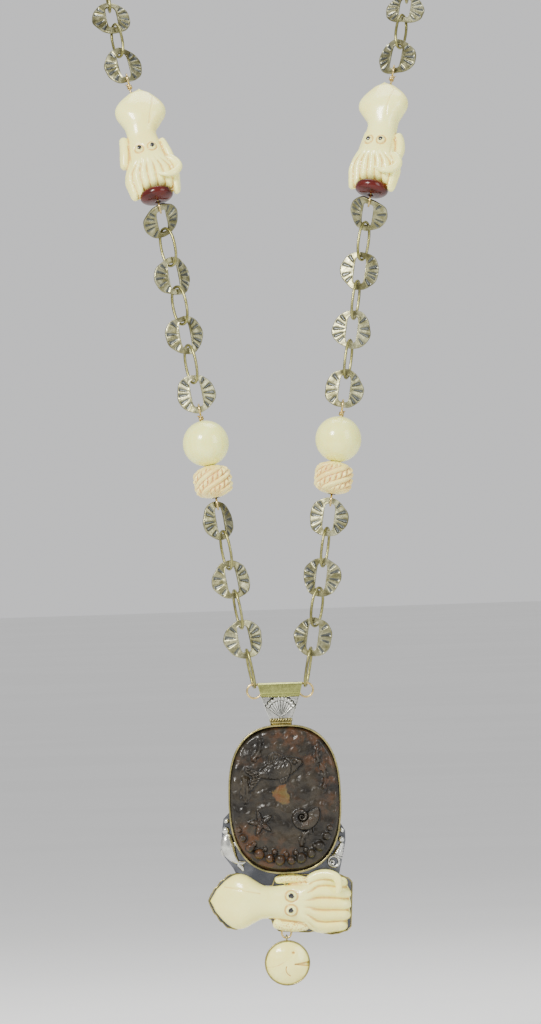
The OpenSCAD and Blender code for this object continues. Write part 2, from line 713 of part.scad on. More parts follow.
module stone() {
    dome_rise = stone_edge_y - stone_crown_y;
    dome_r = (pow(stone_h / 2, 2) + dome_rise * dome_rise) / (2 * dome_rise);
    relief_y = stone_crown_y + 0.35;
    color(stone_brown) on_pendant() translate([stone_x, 0, stone_z]) {
        intersection() {
            slab(stone_crown_y - 1, plate_y - fit) stone_outline(0);
            translate([0, stone_crown_y + dome_r, 0]) sphere(r = dome_r, $fn = 180);
        }
        translate([-1.5, relief_y, 12]) rotate([0, -16, 0]) relief_fish(19);
        translate([6.5, relief_y + 0.2, -7]) nautilus(7);
        translate([-9.5, relief_y + 0.4, -9]) rotate([0, 14, 0]) star(5.6);
        for (p = PEBBLES) translate([p.x, stone_edge_y - 0.3, p.y]) sphere(r = p.z, $fn = 32);
        translate([-24, relief_y + 0.9, 4]) weed(9.5, -38, 76);
        translate([-6.4, relief_y + 0.9, 3.4]) weed(9.5, 140, 72);
        translate([7, relief_y + 0.9, 8]) weed(9, -35, 80);
        translate([20.6, relief_y + 0.8, 17]) weed(7.5, 150, 62);
    }
}

module pendant_squid() {
    color(bone) on_pendant() at_squid() translate([0, squid_y, 0])
        squid_with_pupil_seats(long_squid_len, long_squid_w / 2, true, 0);
}

module pendant_squid_eyes() {
    on_pendant() at_squid() translate([0, squid_y, 0]) squid_eyes(long_squid_len, long_squid_w / 2);
}

// Round drop: a thin cup with an eye that links the lower ring, and a carved bone face
drop_y = plate_y - 1.4;
cup_wall = 0.4;

module drop_setting() {
    eye_r = 1.25;
    color(gold) on_pendant() translate([drop_x, 0, drop_drop]) {
        rotate([90, 0, 0]) difference() {
            translate([0, 0, -drop_y - 0.8]) cylinder(d = drop_d, h = 2.8, $fn = 96);
            translate([0, 0, -drop_y]) cylinder(d = drop_d - 2 * cup_wall, h = 3, $fn = 96);
        }
        translate([0, drop_y, drop_d / 2 + 0.6]) rotate([0, 90, 0])
            rotate_extrude() translate([eye_r, 0]) circle(d = 0.7, $fn = 24);
    }
}

module drop_bone() {
    bone_d = drop_d - 2 * cup_wall - 2 * fit;
    dome_r = 13;
    front = 4.2;
    color(bone) on_pendant() translate([drop_x, drop_y - fit, drop_drop]) difference() {
        intersection() {
            rotate([90, 0, 0]) cylinder(d = bone_d, h = front, $fn = 96);
            translate([0, dome_r - front, 0]) sphere(r = dome_r, $fn = 128);
        }
        translate([2.4, -front, 3.9]) sphere(d = 1.4);
        translate([0, -front + 0.4, 0]) slab(-1, 0.2) polygon([[3, -0.9], [bone_d / 2 - 1, 0.1], [bone_d / 2 - 1, -1.5]]);
        translate([2.2, -front - 0.1, -2.6]) rotate([90, 0, 0]) arc_wire(2.6, 0.7, 150, 80);
    }
}

for (side = ["left", "right"]) {
    for (i = [0:len(LINKS) - 1])
        strand_link(side, i);
    for (name = ["carved_bead", "round_bead", "round_bead_wire", "red_bead",
        "squid_bead", "squid_bead_eyes", "squid_bead_wire"])
        side_bead(side, name);
    back_chain(side);
}
clasp();
setting();
stone();
pendant_squid();
pendant_squid_eyes();
drop_setting();
drop_bone();
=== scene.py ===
import math
import random

import bmesh
import bpy
from mathutils import Matrix, Vector, kdtree, noise


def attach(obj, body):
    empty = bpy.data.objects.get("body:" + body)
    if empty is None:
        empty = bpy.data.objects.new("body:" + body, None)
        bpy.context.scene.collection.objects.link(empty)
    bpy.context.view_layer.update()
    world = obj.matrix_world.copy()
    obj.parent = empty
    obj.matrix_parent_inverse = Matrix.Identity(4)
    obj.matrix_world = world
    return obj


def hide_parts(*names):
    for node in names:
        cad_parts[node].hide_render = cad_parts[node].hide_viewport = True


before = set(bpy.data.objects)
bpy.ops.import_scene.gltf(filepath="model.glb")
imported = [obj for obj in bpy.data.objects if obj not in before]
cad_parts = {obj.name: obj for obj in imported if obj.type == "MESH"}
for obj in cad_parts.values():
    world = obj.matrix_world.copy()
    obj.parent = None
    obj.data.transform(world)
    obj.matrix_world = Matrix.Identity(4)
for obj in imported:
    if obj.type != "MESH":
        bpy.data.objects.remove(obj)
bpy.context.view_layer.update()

# Long necklace of hammered disc links and oval wire links with carved bone beads, and a carved
# stone pendant. Shapes are worked out in millimetres, +Z up, front towards -Y, and scaled once.
MM = 0.001

# Sizes shared with the solids
HINGE = Vector((0, -75, -311.5))
HOOK_X = 10.1
DISC_D = 15.6
DISC_T = 1.0
SLOT_LEN = 10.4
SLOT_W = 4.2
OVAL_LEN = 13.9
OVAL_W = 8.3
OVAL_WIRE = 1.15
ROUND_D = 18.0
CARVED_D = 15.5
CARVED_H = 12.8
RED_D = 13.0
RED_H = 5.6
SQUID_LEN = 48.0
SQUID_HALF = 9.75
BEAD_WIRE = 0.8
BORE_R = 0.7
LOOP_INNER = 3.5
RING_D = 6.3
RING_WIRE = 0.8
STONE_W = 42.2
STONE_H = 56.3
LONG_SQUID_LEN = 55.6
LONG_SQUID_HALF = 10.6
DROP_D = 17.7
# Slack between one link and the next, clearance between fitted pieces, and how far a coil reaches
# into its loop
PLAY = 0.35
FIT = 0.1
SINK = 0.1
HALF_SLOT = SLOT_LEN / 2
HALF_PITCH = OVAL_LEN / 2 - PLAY + HALF_SLOT
BACK_PITCH = HALF_PITCH - 0.3
# How far the disc under each red bead is tipped, in degrees
TIPPED = 47.0
# Route of the right strand: up the front, then round the neck to the nape
FRONT = [Vector((HOOK_X, -75, -311.5)), Vector((25, -70.5, -233.5)), Vector((35, -58.5, -143.5)),
         Vector((49.6, -45, -83.5))]
NECK = [FRONT[3], Vector((63, -33.5, -28.5)), Vector((78, 66, 22)), Vector((0, 60, 19))]
# Links from the pendant up: kind, step from the link below, forward, tip, turns on the left and on
# the right strand
LINKS = [
    ("oval", OVAL_LEN / 2 - RING_WIRE / 2 - PLAY, 0, 0, (80, 80)),
    ("disc", HALF_PITCH, 0, 0, (-10, -12)),
    ("oval", HALF_PITCH, 0, 0, (74, 55)),
    ("disc", HALF_PITCH, 0, 0, (-14, -16)),
    ("oval", HALF_PITCH, 0, 0, (62, 70)),
    ("disc", HALF_PITCH, 0, 0, (-42, 2)),
    ("disc", 50.8, 0, 0, (-8, 4)),
    ("oval", HALF_PITCH, 0, 0, (55, 70)),
    ("disc", HALF_PITCH, 0, 0, (-16, 0)),
    ("oval", HALF_PITCH, 0, 0, (42, 70)),
    ("disc", HALF_PITCH, 0, 0, (-26, -4)),
    ("oval", HALF_PITCH, 0, 0, (40, 56)),
    ("disc", OVAL_LEN / 2 - 0.6 + HALF_SLOT * math.cos(math.radians(TIPPED)),
     HALF_SLOT * math.sin(math.radians(TIPPED)), TIPPED, (-22, -14)),
    ("disc", 66.2, 0, 0, (-20, -24)),
    ("oval", HALF_PITCH, 0, 0, (55, 55)),
    ("disc", HALF_PITCH, 0, 0, (-16, -12)),
]
BACK_LINKS = 11


# Smooth curves
def bezier(points, t):
    a, b, c, d = points
    return (1 - t) ** 3 * a + 3 * t * (1 - t) ** 2 * b + 3 * t * t * (1 - t) * c + t ** 3 * d


def bezier_speed(points, t):
    a, b, c, d = points
    return 3 * (1 - t) ** 2 * (b - a) + 6 * t * (1 - t) * (c - b) + 3 * t * t * (d - c)


def strand_place(u):
    return bezier(FRONT, u) if u < 1 else bezier(NECK, u - 1)


def strand_heading(u):
    return bezier_speed(FRONT, u) if u < 1 else bezier_speed(NECK, u - 1)


def walk(u, length):
    """The station on the strand that lies a length further on."""
    steps = 24
    for _ in range(steps):
        u += length / steps / strand_heading(u).length
    return u


def smooth_path(points, share):
    """A point at a share of the way along a smooth curve through the given points or numbers."""
    last = len(points) - 1
    place = min(max(share, 0) * last, last - 1e-6)
    k = int(place)
    t = place - k
    a, b, c, d = points[max(k - 1, 0)], points[k], points[k + 1], points[min(k + 2, last)]
    square_part = 2 * a - 5 * b + 4 * c - d
    cube_part = 3 * b - a - 3 * c + d
    return 0.5 * (2 * b + (c - a) * t + square_part * t * t + cube_part * t ** 3)


def smoothstep(value):
    """An even rise from 0 to 1, level at both ends."""
    value = min(max(value, 0), 1)
    return value * value * (3 - 2 * value)


def fuller(share, full):
    """A cosine or sine that makes a squarer oval: 2 leaves it round, and more fills the corners."""
    return math.copysign(abs(share) ** (2 / full), share)


def turned(axis, degrees):
    return Matrix.Rotation(math.radians(degrees), 4, axis)


def along(direction):
    """Turns +Z to a direction, with the front kept to the front."""
    back = -math.degrees(math.asin(direction.y / direction.length))
    side = math.degrees(math.atan2(direction.x, direction.z))
    return turned("Y", side) @ turned("X", back)


def sided(side):
    """Everything is laid out for the right strand; the left one is its mirror image."""
    return Matrix.Scale(-1, 4, (1, 0, 0)) if side == "left" else Matrix.Identity(4)


STATIONS = []
station = 0.0
for link in LINKS:
    station = walk(station, link[1])
    STATIONS.append(station)
BACK_STATIONS = []
for _ in range(BACK_LINKS):
    station = walk(station, BACK_PITCH)
    BACK_STATIONS.append(station)


def link_frame(i, side):
    _, _, forward, tip, turns = LINKS[i]
    u = STATIONS[i]
    turn = turns[0 if side == "left" else 1]
    return (sided(side) @ Matrix.Translation(strand_place(u)) @ along(strand_heading(u))
            @ Matrix.Translation((0, -forward, 0)) @ turned("X", tip) @ turned("Z", turn))


def back_frame(i, side):
    u = BACK_STATIONS[i]
    heading = strand_heading(u)
    compass = math.degrees(math.atan2(heading.y, heading.x))
    slope = math.degrees(math.acos(heading.z / heading.length))
    # The chain turns flat to the neck over the first few links, with its ovals across the discs
    turn = min(0, -85 + 14 * (i + 1)) + (75 if i % 2 == 0 else 0)
    return (sided(side) @ Matrix.Translation(strand_place(u)) @ turned("Z", compass) @ turned("Y", slope)
            @ turned("Z", turn))


def loop_middle(i, end):
    """Middle of the wire loop that holds on to a disc's upper (1) or lower (-1) end."""
    _, _, forward, tip, _ = LINKS[i]
    tip = math.radians(tip)
    reach = HALF_SLOT + LOOP_INNER / 2 - PLAY
    local = Vector((0, -forward, 0)) + end * reach * Vector((0, -math.sin(tip), math.cos(tip)))
    return strand_place(STATIONS[i]) + along(strand_heading(STATIONS[i])).to_3x3() @ local


def group_frame(side, lower, upper):
    """Place and length of a bead group strung between two discs."""
    foot = loop_middle(lower, 1)
    axis = loop_middle(upper, -1) - foot
    return sided(side) @ Matrix.Translation(foot) @ along(axis), axis.length


# Making meshes
FORWARD = Vector((0, -1, 0))


def wrapped(bm, around, across, shape):
    """A skin that closes on itself both ways: shape(turn, roll) places its points, both from 0 to 1."""
    made = bmesh.ops.create_grid(bm, x_segments=around, y_segments=across, size=1)["verts"]
    for vert in made:
        vert.co = shape((vert.co.x + 1) / 2 % 1, (vert.co.y + 1) / 2 % 1)
    bmesh.ops.remove_doubles(bm, verts=made, dist=1e-4)


def panel(bm, wide, high, shape):
    """An open skin: shape(across, up) places its points, both from -1 to 1."""
    made = bmesh.ops.create_grid(bm, x_segments=wide, y_segments=high, size=1)["verts"]
    for vert in made:
        vert.co = shape(vert.co.x, vert.co.y)
    return made


def backed(bm, back_y):
    """Carries the rim of an open skin straight back and closes it with a flat back."""
    rim = [edge for edge in bm.edges if edge.is_boundary]
    made = bmesh.ops.extrude_edge_only(bm, edges=rim)["geom"]
    for vert in made:
        if isinstance(vert, bmesh.types.BMVert):
            vert.co.y = back_y
    back = [edge for edge in made if isinstance(edge, bmesh.types.BMEdge) and edge.is_boundary]
    bmesh.ops.contextual_create(bm, geom=back)


def ring(bm, radius, wire, place, around=56, across=14):
    def shape(turn, roll):
        turn, roll = 2 * math.pi * turn, 2 * math.pi * roll
        reach = radius + wire / 2 * math.cos(roll)
        return place @ Vector((reach * math.cos(turn), reach * math.sin(turn), wire / 2 * math.sin(roll)))

    wrapped(bm, around, across, shape)


def limb(bm, spine, radii, place=Matrix.Identity(4), deep=1.0, rings=36, sides=18):
    """A round-ended limb along a smooth path, its radii spread evenly along it."""
    spine = [Vector(p) for p in spine]
    length = sum((b - a).length for a, b in zip(spine, spine[1:]))
    first_cap = min(radii[0] / length, 0.45)
    last_cap = min(radii[-1] / length, 0.45)
    for vert in bmesh.ops.create_uvsphere(bm, u_segments=sides, v_segments=rings, radius=1)["verts"]:
        share = math.acos(min(1, max(-1, -vert.co.z))) / math.pi
        spread = math.hypot(vert.co.x, vert.co.y)
        turn = math.atan2(vert.co.y, vert.co.x) if spread > 1e-6 else 0
        swell = 1 if spread > 1e-6 else 0
        if share < first_cap:
            angle = share / first_cap * math.pi / 2
            share, swell = first_cap * (1 - math.cos(angle)), math.sin(angle)
        elif share > 1 - last_cap:
            angle = (1 - share) / last_cap * math.pi / 2
            share, swell = 1 - last_cap * (1 - math.cos(angle)), math.sin(angle)
        middle = smooth_path(spine, share)
        ahead = smooth_path(spine, min(share + 0.01, 1)) - smooth_path(spine, max(share - 0.01, 0))
        ahead.normalize()
        front = FORWARD if abs(ahead.y) < 0.9 else Vector((0, 0, 1))
        beside = ahead.cross(front).normalized()
        front = beside.cross(ahead)
        radius = smooth_path(radii, share) * swell
        middle += beside * math.cos(turn) * radius
        middle += front * math.sin(turn) * radius * deep
        vert.co = place @ middle


def lathe(bm, profile, steps, place=Matrix.Identity(4)):
    """A closed solid of revolution about Z through a closed profile of radius and height."""
    verts = [bm.verts.new((r, 0, z)) for r, z in profile]
    edges = [bm.edges.new((a, b)) for a, b in zip(verts, verts[1:] + verts[:1])]
    bmesh.ops.spin(bm, geom=verts + edges, cent=(0, 0, 0), axis=(0, 0, 1), dvec=(0, 0, 0),
                   angle=2 * math.pi, steps=steps, use_merge=True)
    bmesh.ops.remove_doubles(bm, verts=bm.verts, dist=1e-4)
    bmesh.ops.transform(bm, matrix=place, verts=bm.verts)


def melted(bm, voxel, passes):
    """One closed skin round all that the bmesh holds, evened out a little."""
    mesh = bpy.data.meshes.new("melted")
    bm.to_mesh(mesh)
    bm.free()
    holder = bpy.data.objects.new("melted", mesh)
    bpy.context.scene.collection.objects.link(holder)
    skin = holder.modifiers.new("skin", "REMESH")
    skin.mode = "VOXEL"
    skin.voxel_size = voxel
    out = bmesh.new()
    out.from_mesh(holder.evaluated_get(bpy.context.evaluated_depsgraph_get()).to_mesh())
    bpy.data.objects.remove(holder)
    for _ in range(passes):
        even_out(out)
    return out


def add_all(bm, other):
    """Puts all that another bmesh holds into this one."""
    mesh = bpy.data.meshes.new("added")
    other.to_mesh(mesh)
    other.free()
    bm.from_mesh(mesh)
    bpy.data.meshes.remove(mesh)


def even_out(bm):
    bmesh.ops.smooth_vert(bm, verts=bm.verts, factor=0.5, use_axis_x=True, use_axis_y=True, use_axis_z=True)


def mark_grooves(bm, passes, depth):
    """Stores how far each point lies below its own evened-out surface: 1 in grooves, below 0 on crests."""
    level = bm.copy()
    for _ in range(passes):
        even_out(level)
    layer = bm.verts.layers.float.new("groove")
    bm.normal_update()
    for vert, smoothed in zip(bm.verts, level.verts):
        vert[layer] = (smoothed.co - vert.co).dot(vert.normal) / depth
    level.free()


def engrave(bm, lines, width, depth):
    """Cuts thin lines, drawn in the front view, into the front of a skin."""
    steps = 60
    samples = [smooth_path(line, k / steps) for line in lines for k in range(steps + 1)]
    tree = kdtree.KDTree(len(samples))
    for k, point in enumerate(samples):
        tree.insert((point.x, 0, point.y), k)
    tree.balance()
    bm.normal_update()
    moves = []
    for vert in bm.verts:
        if vert.normal.y > -0.15:
            continue
        _, _, gap = tree.find((vert.co.x, 0, vert.co.z))
        if gap < width:
            moves.append((vert, (1 - (gap / width) ** 2) ** 2))
    for vert, share in moves:
        vert.co -= vert.normal * depth * share


def piece(name, bm, materials, body="necklace", nodes=(), smooth=True):
    """Scales a finished bmesh to metres and hands it over as one piece of the part."""
    bmesh.ops.recalc_face_normals(bm, faces=bm.faces)
    bmesh.ops.scale(bm, vec=(MM, MM, MM), verts=bm.verts)
    for face in bm.faces:
        face.smooth = smooth
    mesh = bpy.data.meshes.new(name)
    bm.to_mesh(mesh)
    bm.free()
    made = bpy.data.objects.new(name, mesh)
    bpy.context.scene.collection.objects.link(made)
    for material in materials if isinstance(materials, list) else [materials]:
        mesh.materials.append(material)
    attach(made, body)
    if nodes:
        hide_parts(*nodes)
    return made


# Materials
class Finish:
    """A Principled material put together node by node; colours are linear."""

    def __init__(self, name, **sockets):
        self.material = bpy.data.materials.new(name)
        self.material.use_nodes = True
        self.nodes = self.material.node_tree.nodes
        self.links = self.material.node_tree.links
        self.shader = self.nodes["Principled BSDF"]
        for socket, value in sockets.items():
            self.shader.inputs[socket.replace("_", " ")].default_value = value
        self.place = self.nodes.new("ShaderNodeTexCoord").outputs["Object"]

    def put(self, socket, value):
        if isinstance(value, bpy.types.NodeSocket):
            self.links.new(value, socket)
        else:
            socket.default_value = value

    def groove(self, low, high):
        """0 to 1 as the stored depth of a groove goes from low to high."""
        stored = self.nodes.new("ShaderNodeAttribute")
        stored.attribute_name = "groove"
        return self.spread(stored.outputs["Fac"], low, high)

    def spread(self, value, low, high, to_low=0.0, to_high=1.0):
        node = self.nodes.new("ShaderNodeMapRange")
        node.interpolation_type = "SMOOTHSTEP"
        self.put(node.inputs["Value"], value)
        ends = {"From Min": low, "From Max": high, "To Min": to_low, "To Max": to_high}
        for name, number in ends.items():
            node.inputs[name].default_value = number
        return node.outputs["Result"]

    def noise(self, scale, detail=3.0, roughness=0.55, distortion=0.0, stretch=None):
        node = self.nodes.new("ShaderNodeTexNoise")
        node.inputs["Scale"].default_value = scale
        node.inputs["Detail"].default_value = detail
        node.inputs["Roughness"].default_value = roughness
        node.inputs["Distortion"].default_value = distortion
        source = self.place
        if stretch:
            mapping = self.nodes.new("ShaderNodeMapping")
            mapping.inputs["Scale"].default_value = stretch
            self.links.new(self.place, mapping.inputs["Vector"])
            source = mapping.outputs["Vector"]
        self.links.new(source, node.inputs["Vector"])
        return node.outputs["Fac"]

    def math(self, operation, a, b):
        node = self.nodes.new("ShaderNodeMath")
        node.operation = operation
        self.put(node.inputs[0], a)
        self.put(node.inputs[1], b)
        return node.outputs["Value"]

    def mix(self, factor, a, b):
        node = self.nodes.new("ShaderNodeMix")
        node.data_type = "RGBA"
        self.put(node.inputs["Factor"], factor)
        self.put(node.inputs[6], a if isinstance(a, bpy.types.NodeSocket) else (*a, 1))
        self.put(node.inputs[7], b if isinstance(b, bpy.types.NodeSocket) else (*b, 1))
        return node.outputs[2]

    def near(self, centre, radius, soft, ragged=0.0):
        """1 inside a ball round a point, fading to 0 over the soft width; metres."""
        shift = self.nodes.new("ShaderNodeVectorMath")
        shift.operation = "DISTANCE"
        self.links.new(self.place, shift.inputs[0])
        shift.inputs[1].default_value = centre
        reach = self.math("ADD", shift.outputs["Value"], ragged) if ragged else shift.outputs["Value"]
        return self.spread(reach, radius - soft, radius + soft, 1.0, 0.0)

    def colour(self, value):
        self.put(self.shader.inputs["Base Color"], value)

    def rough(self, value):
        self.put(self.shader.inputs["Roughness"], value)

    def patches(self, low, high, *texture):
        """0 to 1 as a noise, given as for noise(), goes from low to high."""
        return self.spread(self.noise(*texture), low, high)

    def sheen(self, glossy, dull, scale, detail=3):
        """Roughness that wanders between two values."""
        self.rough(self.spread(self.noise(scale, detail), 0.3, 0.7, glossy, dull))

    def soften(self, scale, red, green, blue):
        """Light that enters the surface and comes out again nearby; the scale is in metres."""
        self.shader.inputs["Subsurface Weight"].default_value = 0.15
        self.shader.inputs["Subsurface Scale"].default_value = scale
        self.shader.inputs["Subsurface Radius"].default_value = (red, green, blue)

    def bump(self, height, distance):
        node = self.nodes.new("ShaderNodeBump")
        node.inputs["Distance"].default_value = distance
        self.links.new(height, node.inputs["Height"])
        self.links.new(node.outputs["Normal"], self.shader.inputs["Normal"])


def hammered_brass():
    finish = Finish("hammered_brass", Metallic=1.0)
    bare = finish.mix(finish.patches(0.35, 0.68, 260, 4, 0.6, 0.3), (0.18, 0.17, 0.08), (0.36, 0.35, 0.21))
    stain = finish.spread(finish.noise(110, 3), 0.48, 0.66, 0.0, 0.8)
    stained = finish.mix(stain, bare, (0.10, 0.09, 0.036))
    # Dark blue-grey in the chiselled dents, by their depth: partly patina, partly painted shade and painted
    # dark reflection.
    finish.colour(finish.mix(finish.groove(0.1, 0.55), stained, (0.098, 0.104, 0.096)))
    finish.sheen(0.26, 0.44, 900)
    finish.bump(finish.noise(1500, 3, 0.6), 0.00005)
    return finish.material


def wire_brass():
    finish = Finish("wire_brass", Metallic=1.0)
    bare = finish.mix(finish.patches(0.35, 0.65, 320, 4, 0.6), (0.20, 0.185, 0.062), (0.32, 0.30, 0.12))
    stain = finish.spread(finish.noise(120, 3), 0.5, 0.75, 0.0, 0.7)
    finish.colour(finish.mix(stain, bare, (0.11, 0.10, 0.05)))
    finish.sheen(0.25, 0.42, 1100)
    finish.bump(finish.noise(1300, 3, 0.6), 0.00005)
    return finish.material


def gold_wire():
    finish = Finish("gold_wire", Metallic=1.0)
    finish.colour(finish.mix(finish.patches(0.4, 0.7, 500, 3), (0.62, 0.46, 0.17), (0.45, 0.34, 0.14)))
    finish.sheen(0.18, 0.32, 1500, 2)
    finish.bump(finish.noise(2200, 2), 0.00003)
    return finish.material


def polished_bone():
    finish = Finish("polished_bone", Coat_Weight=0.35, Coat_Roughness=0.08)
    finish.soften(0.003, 1.0, 0.7, 0.35)
    pale = finish.mix(finish.patches(0.38, 0.66, 60, 3), (0.97, 0.95, 0.34), (0.94, 0.86, 0.26))
    # Tan in shallow hollows and round the eyes, and deeper brown in the grooves: painted shade.
    shade_tinted = finish.mix(finish.groove(0.0, 0.3), pale, (0.74, 0.50, 0.12))
    finish.colour(finish.mix(finish.groove(0.38, 1.0), shade_tinted, (0.42, 0.22, 0.06)))
    finish.sheen(0.18, 0.3, 700)
    finish.bump(finish.noise(900, 3), 0.00003)
    return finish.material


def turned_bone():
    finish = Finish("turned_bone", Coat_Weight=0.4, Coat_Roughness=0.06)
    finish.soften(0.003, 1.0, 0.7, 0.35)
    grain = finish.patches(0.35, 0.68, 420, 4, 0.55, 0.2, (1, 1, 0.08))
    pale = finish.mix(grain, (0.88, 0.92, 0.32), (0.86, 0.86, 0.25))
    blush = finish.spread(finish.noise(45, 2), 0.45, 0.75, 0.0, 0.5)
    finish.colour(finish.mix(blush, pale, (0.84, 0.78, 0.20)))
    finish.rough(0.2)
    return finish.material


def carved_tan_bone():
    finish = Finish("carved_tan_bone", Coat_Weight=0.25, Coat_Roughness=0.15)
    finish.soften(0.002, 1.0, 0.65, 0.35)
    pale = finish.mix(finish.patches(0.4, 0.68, 180, 3), (0.92, 0.80, 0.27), (0.87, 0.66, 0.19))
    # Darker brown in the grooves between the ridges: painted shade.
    finish.colour(finish.mix(finish.groove(-0.05, 0.55), pale, (0.52, 0.25, 0.06)))
    finish.sheen(0.28, 0.42, 800)
    finish.bump(finish.noise(1200, 3), 0.00005)
    return finish.material


def red_resin():
    finish = Finish("red_resin", Specular_IOR_Level=0.3, Coat_Weight=0.05, Coat_Roughness=0.08)
    cloud = finish.patches(0.4, 0.66, 160, 4, 0.6, 0.6)
    finish.colour(finish.mix(cloud, (0.070, 0.005, 0.003), (0.030, 0.003, 0.002)))
    finish.sheen(0.18, 0.28, 600, 2)
    return finish.material


def worked_silver():
    finish = Finish("worked_silver", Metallic=1.0)
    tone = finish.mix(finish.patches(0.35, 0.7, 200, 4, 0.6), (0.60, 0.60, 0.56), (0.40, 0.40, 0.37))
    finish.colour(finish.mix(finish.groove(0.08, 0.5), tone, (0.022, 0.024, 0.027)))
    finish.sheen(0.18, 0.34, 900)
    finish.bump(finish.noise(900, 3), 0.00005)
    return finish.material


def plate_silver():
    finish = Finish("plate_silver", Metallic=1.0)
    tarnish = finish.patches(0.35, 0.7, 90, 3, 0.6)
    finish.colour(finish.mix(tarnish, (0.17, 0.175, 0.19), (0.075, 0.078, 0.088)))
    finish.sheen(0.22, 0.34, 500)
    return finish.material


def rim_gold():
    finish = Finish("rim_gold", Metallic=1.0)
    finish.colour(finish.mix(finish.patches(0.4, 0.7, 220, 3), (0.36, 0.31, 0.13), (0.20, 0.18, 0.08)))
    finish.sheen(0.2, 0.36, 1300)
    finish.bump(finish.noise(1200, 3), 0.00005)
    return finish.material


def olive_brass():
    finish = Finish("olive_brass", Metallic=1.0)
    streak = finish.patches(0.35, 0.7, 500, 3, 0.6, 0.0, (0.08, 1, 1))
    finish.colour(finish.mix(streak, (0.44, 0.46, 0.15), (0.29, 0.30, 0.10)))
    finish.sheen(0.2, 0.32, 1300)
    finish.bump(finish.noise(700, 3), 0.00004)
    return finish.material


# Rust on the stone: place across and up from its middle, and radius
RUST = [(15, 19, 8), (-15, -17, 8), (-3, -26, 9), (19, 9, 5), (21, -4, 6), (2, 26, 7)]
# The honey-coloured patch, in the same way
HONEY = (-1.2, 2.6, 3.6)


def dark_stone(centre):
    finish = Finish("dark_stone", Specular_IOR_Level=0.3, Coat_Weight=0.08, Coat_Roughness=0.1)
    x, y, z = centre
    cloud = finish.patches(0.35, 0.68, 110, 5, 0.62, 0.4)
    tone = finish.mix(cloud, (0.007, 0.0052, 0.0032), (0.030, 0.023, 0.0135))
    tone = finish.mix(finish.patches(0.56, 0.7, 75, 4, 0.6), tone, (0.040, 0.019, 0.008))
    speckle = finish.patches(0.42, 0.62, 260, 4)
    for spot_x, spot_z, radius in RUST:
        spot = tuple(MM * c for c in (x + spot_x, y, z + spot_z))
        share = finish.math("MULTIPLY", finish.near(spot, radius * MM, 5 * MM), speckle)
        tone = finish.mix(finish.math("MULTIPLY", share, 0.75), tone, (0.065, 0.026, 0.008))
    patch_x, patch_z, patch_r = HONEY
    ragged = finish.spread(finish.noise(150, 4, 0.6), 0.3, 0.7, -0.0016, 0.0016)
    spot = tuple(MM * c for c in (x + patch_x, y, z + patch_z))
    patch = finish.near(spot, patch_r * MM, 0.5 * MM, ragged)
    honey = finish.mix(finish.patches(0.4, 0.65, 200, 3), (0.085, 0.060, 0.018), (0.085, 0.035, 0.010))
    tone = finish.mix(patch, tone, honey)
    # Crests lightened to greyish brown: painted highlight. Grooves darkened nearly to black: painted shade.
    tone = finish.mix(finish.groove(-0.25, -1.1), tone, (0.040, 0.034, 0.026))
    finish.colour(finish.mix(finish.groove(0.05, 0.7), tone, (0.008, 0.007, 0.006)))
    finish.rough(finish.spread(finish.noise(500, 3), 0.35, 0.7, 0.26, 0.42))
    finish.bump(finish.noise(700, 3, 0.55), 0.00004)
    return finish.material


def black_ink():
    finish = Finish("black_ink", Coat_Weight=0.5)
    finish.colour(finish.mix(finish.noise(900), (0.006, 0.006, 0.007), (0.014, 0.013, 0.013)))
    finish.rough(0.25)
    return finish.material


def pale_floor():
    finish = Finish("pale_floor")
    finish.colour(finish.mix(finish.patches(0.4, 0.6, 3, 2), (0.84, 0.84, 0.83), (0.82, 0.82, 0.81)))
    finish.rough(0.9)
    return finish.material


BRASS = hammered_brass()
WIRE_BRASS = wire_brass()
GOLD = gold_wire()
BONE = polished_bone()
ROUND_BONE = turned_bone()
TAN_BONE = carved_tan_bone()
RED = red_resin()
SILVER = worked_silver()
PLATE_SILVER = plate_silver()
RIM_GOLD = rim_gold()
OLIVE = olive_brass()
INK = black_ink()


# Links
def slot_reach(turn):
    """From a disc's middle to the edge of its round-cornered slot."""
    corner = 5
    return 1 / ((abs(math.cos(turn)) / (SLOT_W / 2)) ** corner
                + (abs(math.sin(turn)) / HALF_SLOT) ** corner) ** (1 / corner)


def disc_reach(turn, seed):
    """A disc's radius at a turn: round, but left a little uneven by the hammer."""
    waves = ((0.03, 3, 47), (0.018, 5, 31), (0.008, 9, 83))
    a = math.degrees(turn)
    uneven = (size * math.sin(math.radians(count * a + shift * seed)) for size, count, shift in waves)
    return DISC_D / 2 * sum(uneven, 0.975)


# Section of a disc: share of the way from the slot to the edge, and which face, 1 front to -1 back
DISC_SECTION = [
    (0, 0), (0.01, 0.75), (0.05, 1), (0.11, 1), (0.17, 1), (0.25, 1), (0.35, 1), (0.46, 1), (0.57, 1),
    (0.68, 1), (0.79, 1), (0.88, 1), (0.94, 1), (0.975, 0.9), (0.995, 0.5), (1, 0), (0.995, -0.5),
    (0.97, -0.95), (0.85, -1), (0.6, -1), (0.3, -1), (0.05, -1), (0.01, -0.75),
]
# How far the chiselled rays spread on each side of a disc, in degrees, and the share where they end
RAY_FAN = 128
RAY_END = 0.95


def chisel_rays(dice):
    """The rays on both sides of a slot: angle, how fast each widens, where it starts and its depth."""
    rays = []
    for middle in (0, 180):
        count = dice.choice((4, 5, 5))
        for k in range(count):
            angle = middle + (k - (count - 1) / 2) * RAY_FAN / count + dice.uniform(-5, 5)
            rays.append((math.radians(angle), dice.uniform(0.75, 1.15), dice.uniform(0.10, 0.24),
                         dice.uniform(0.3, 0.5)))
    return rays


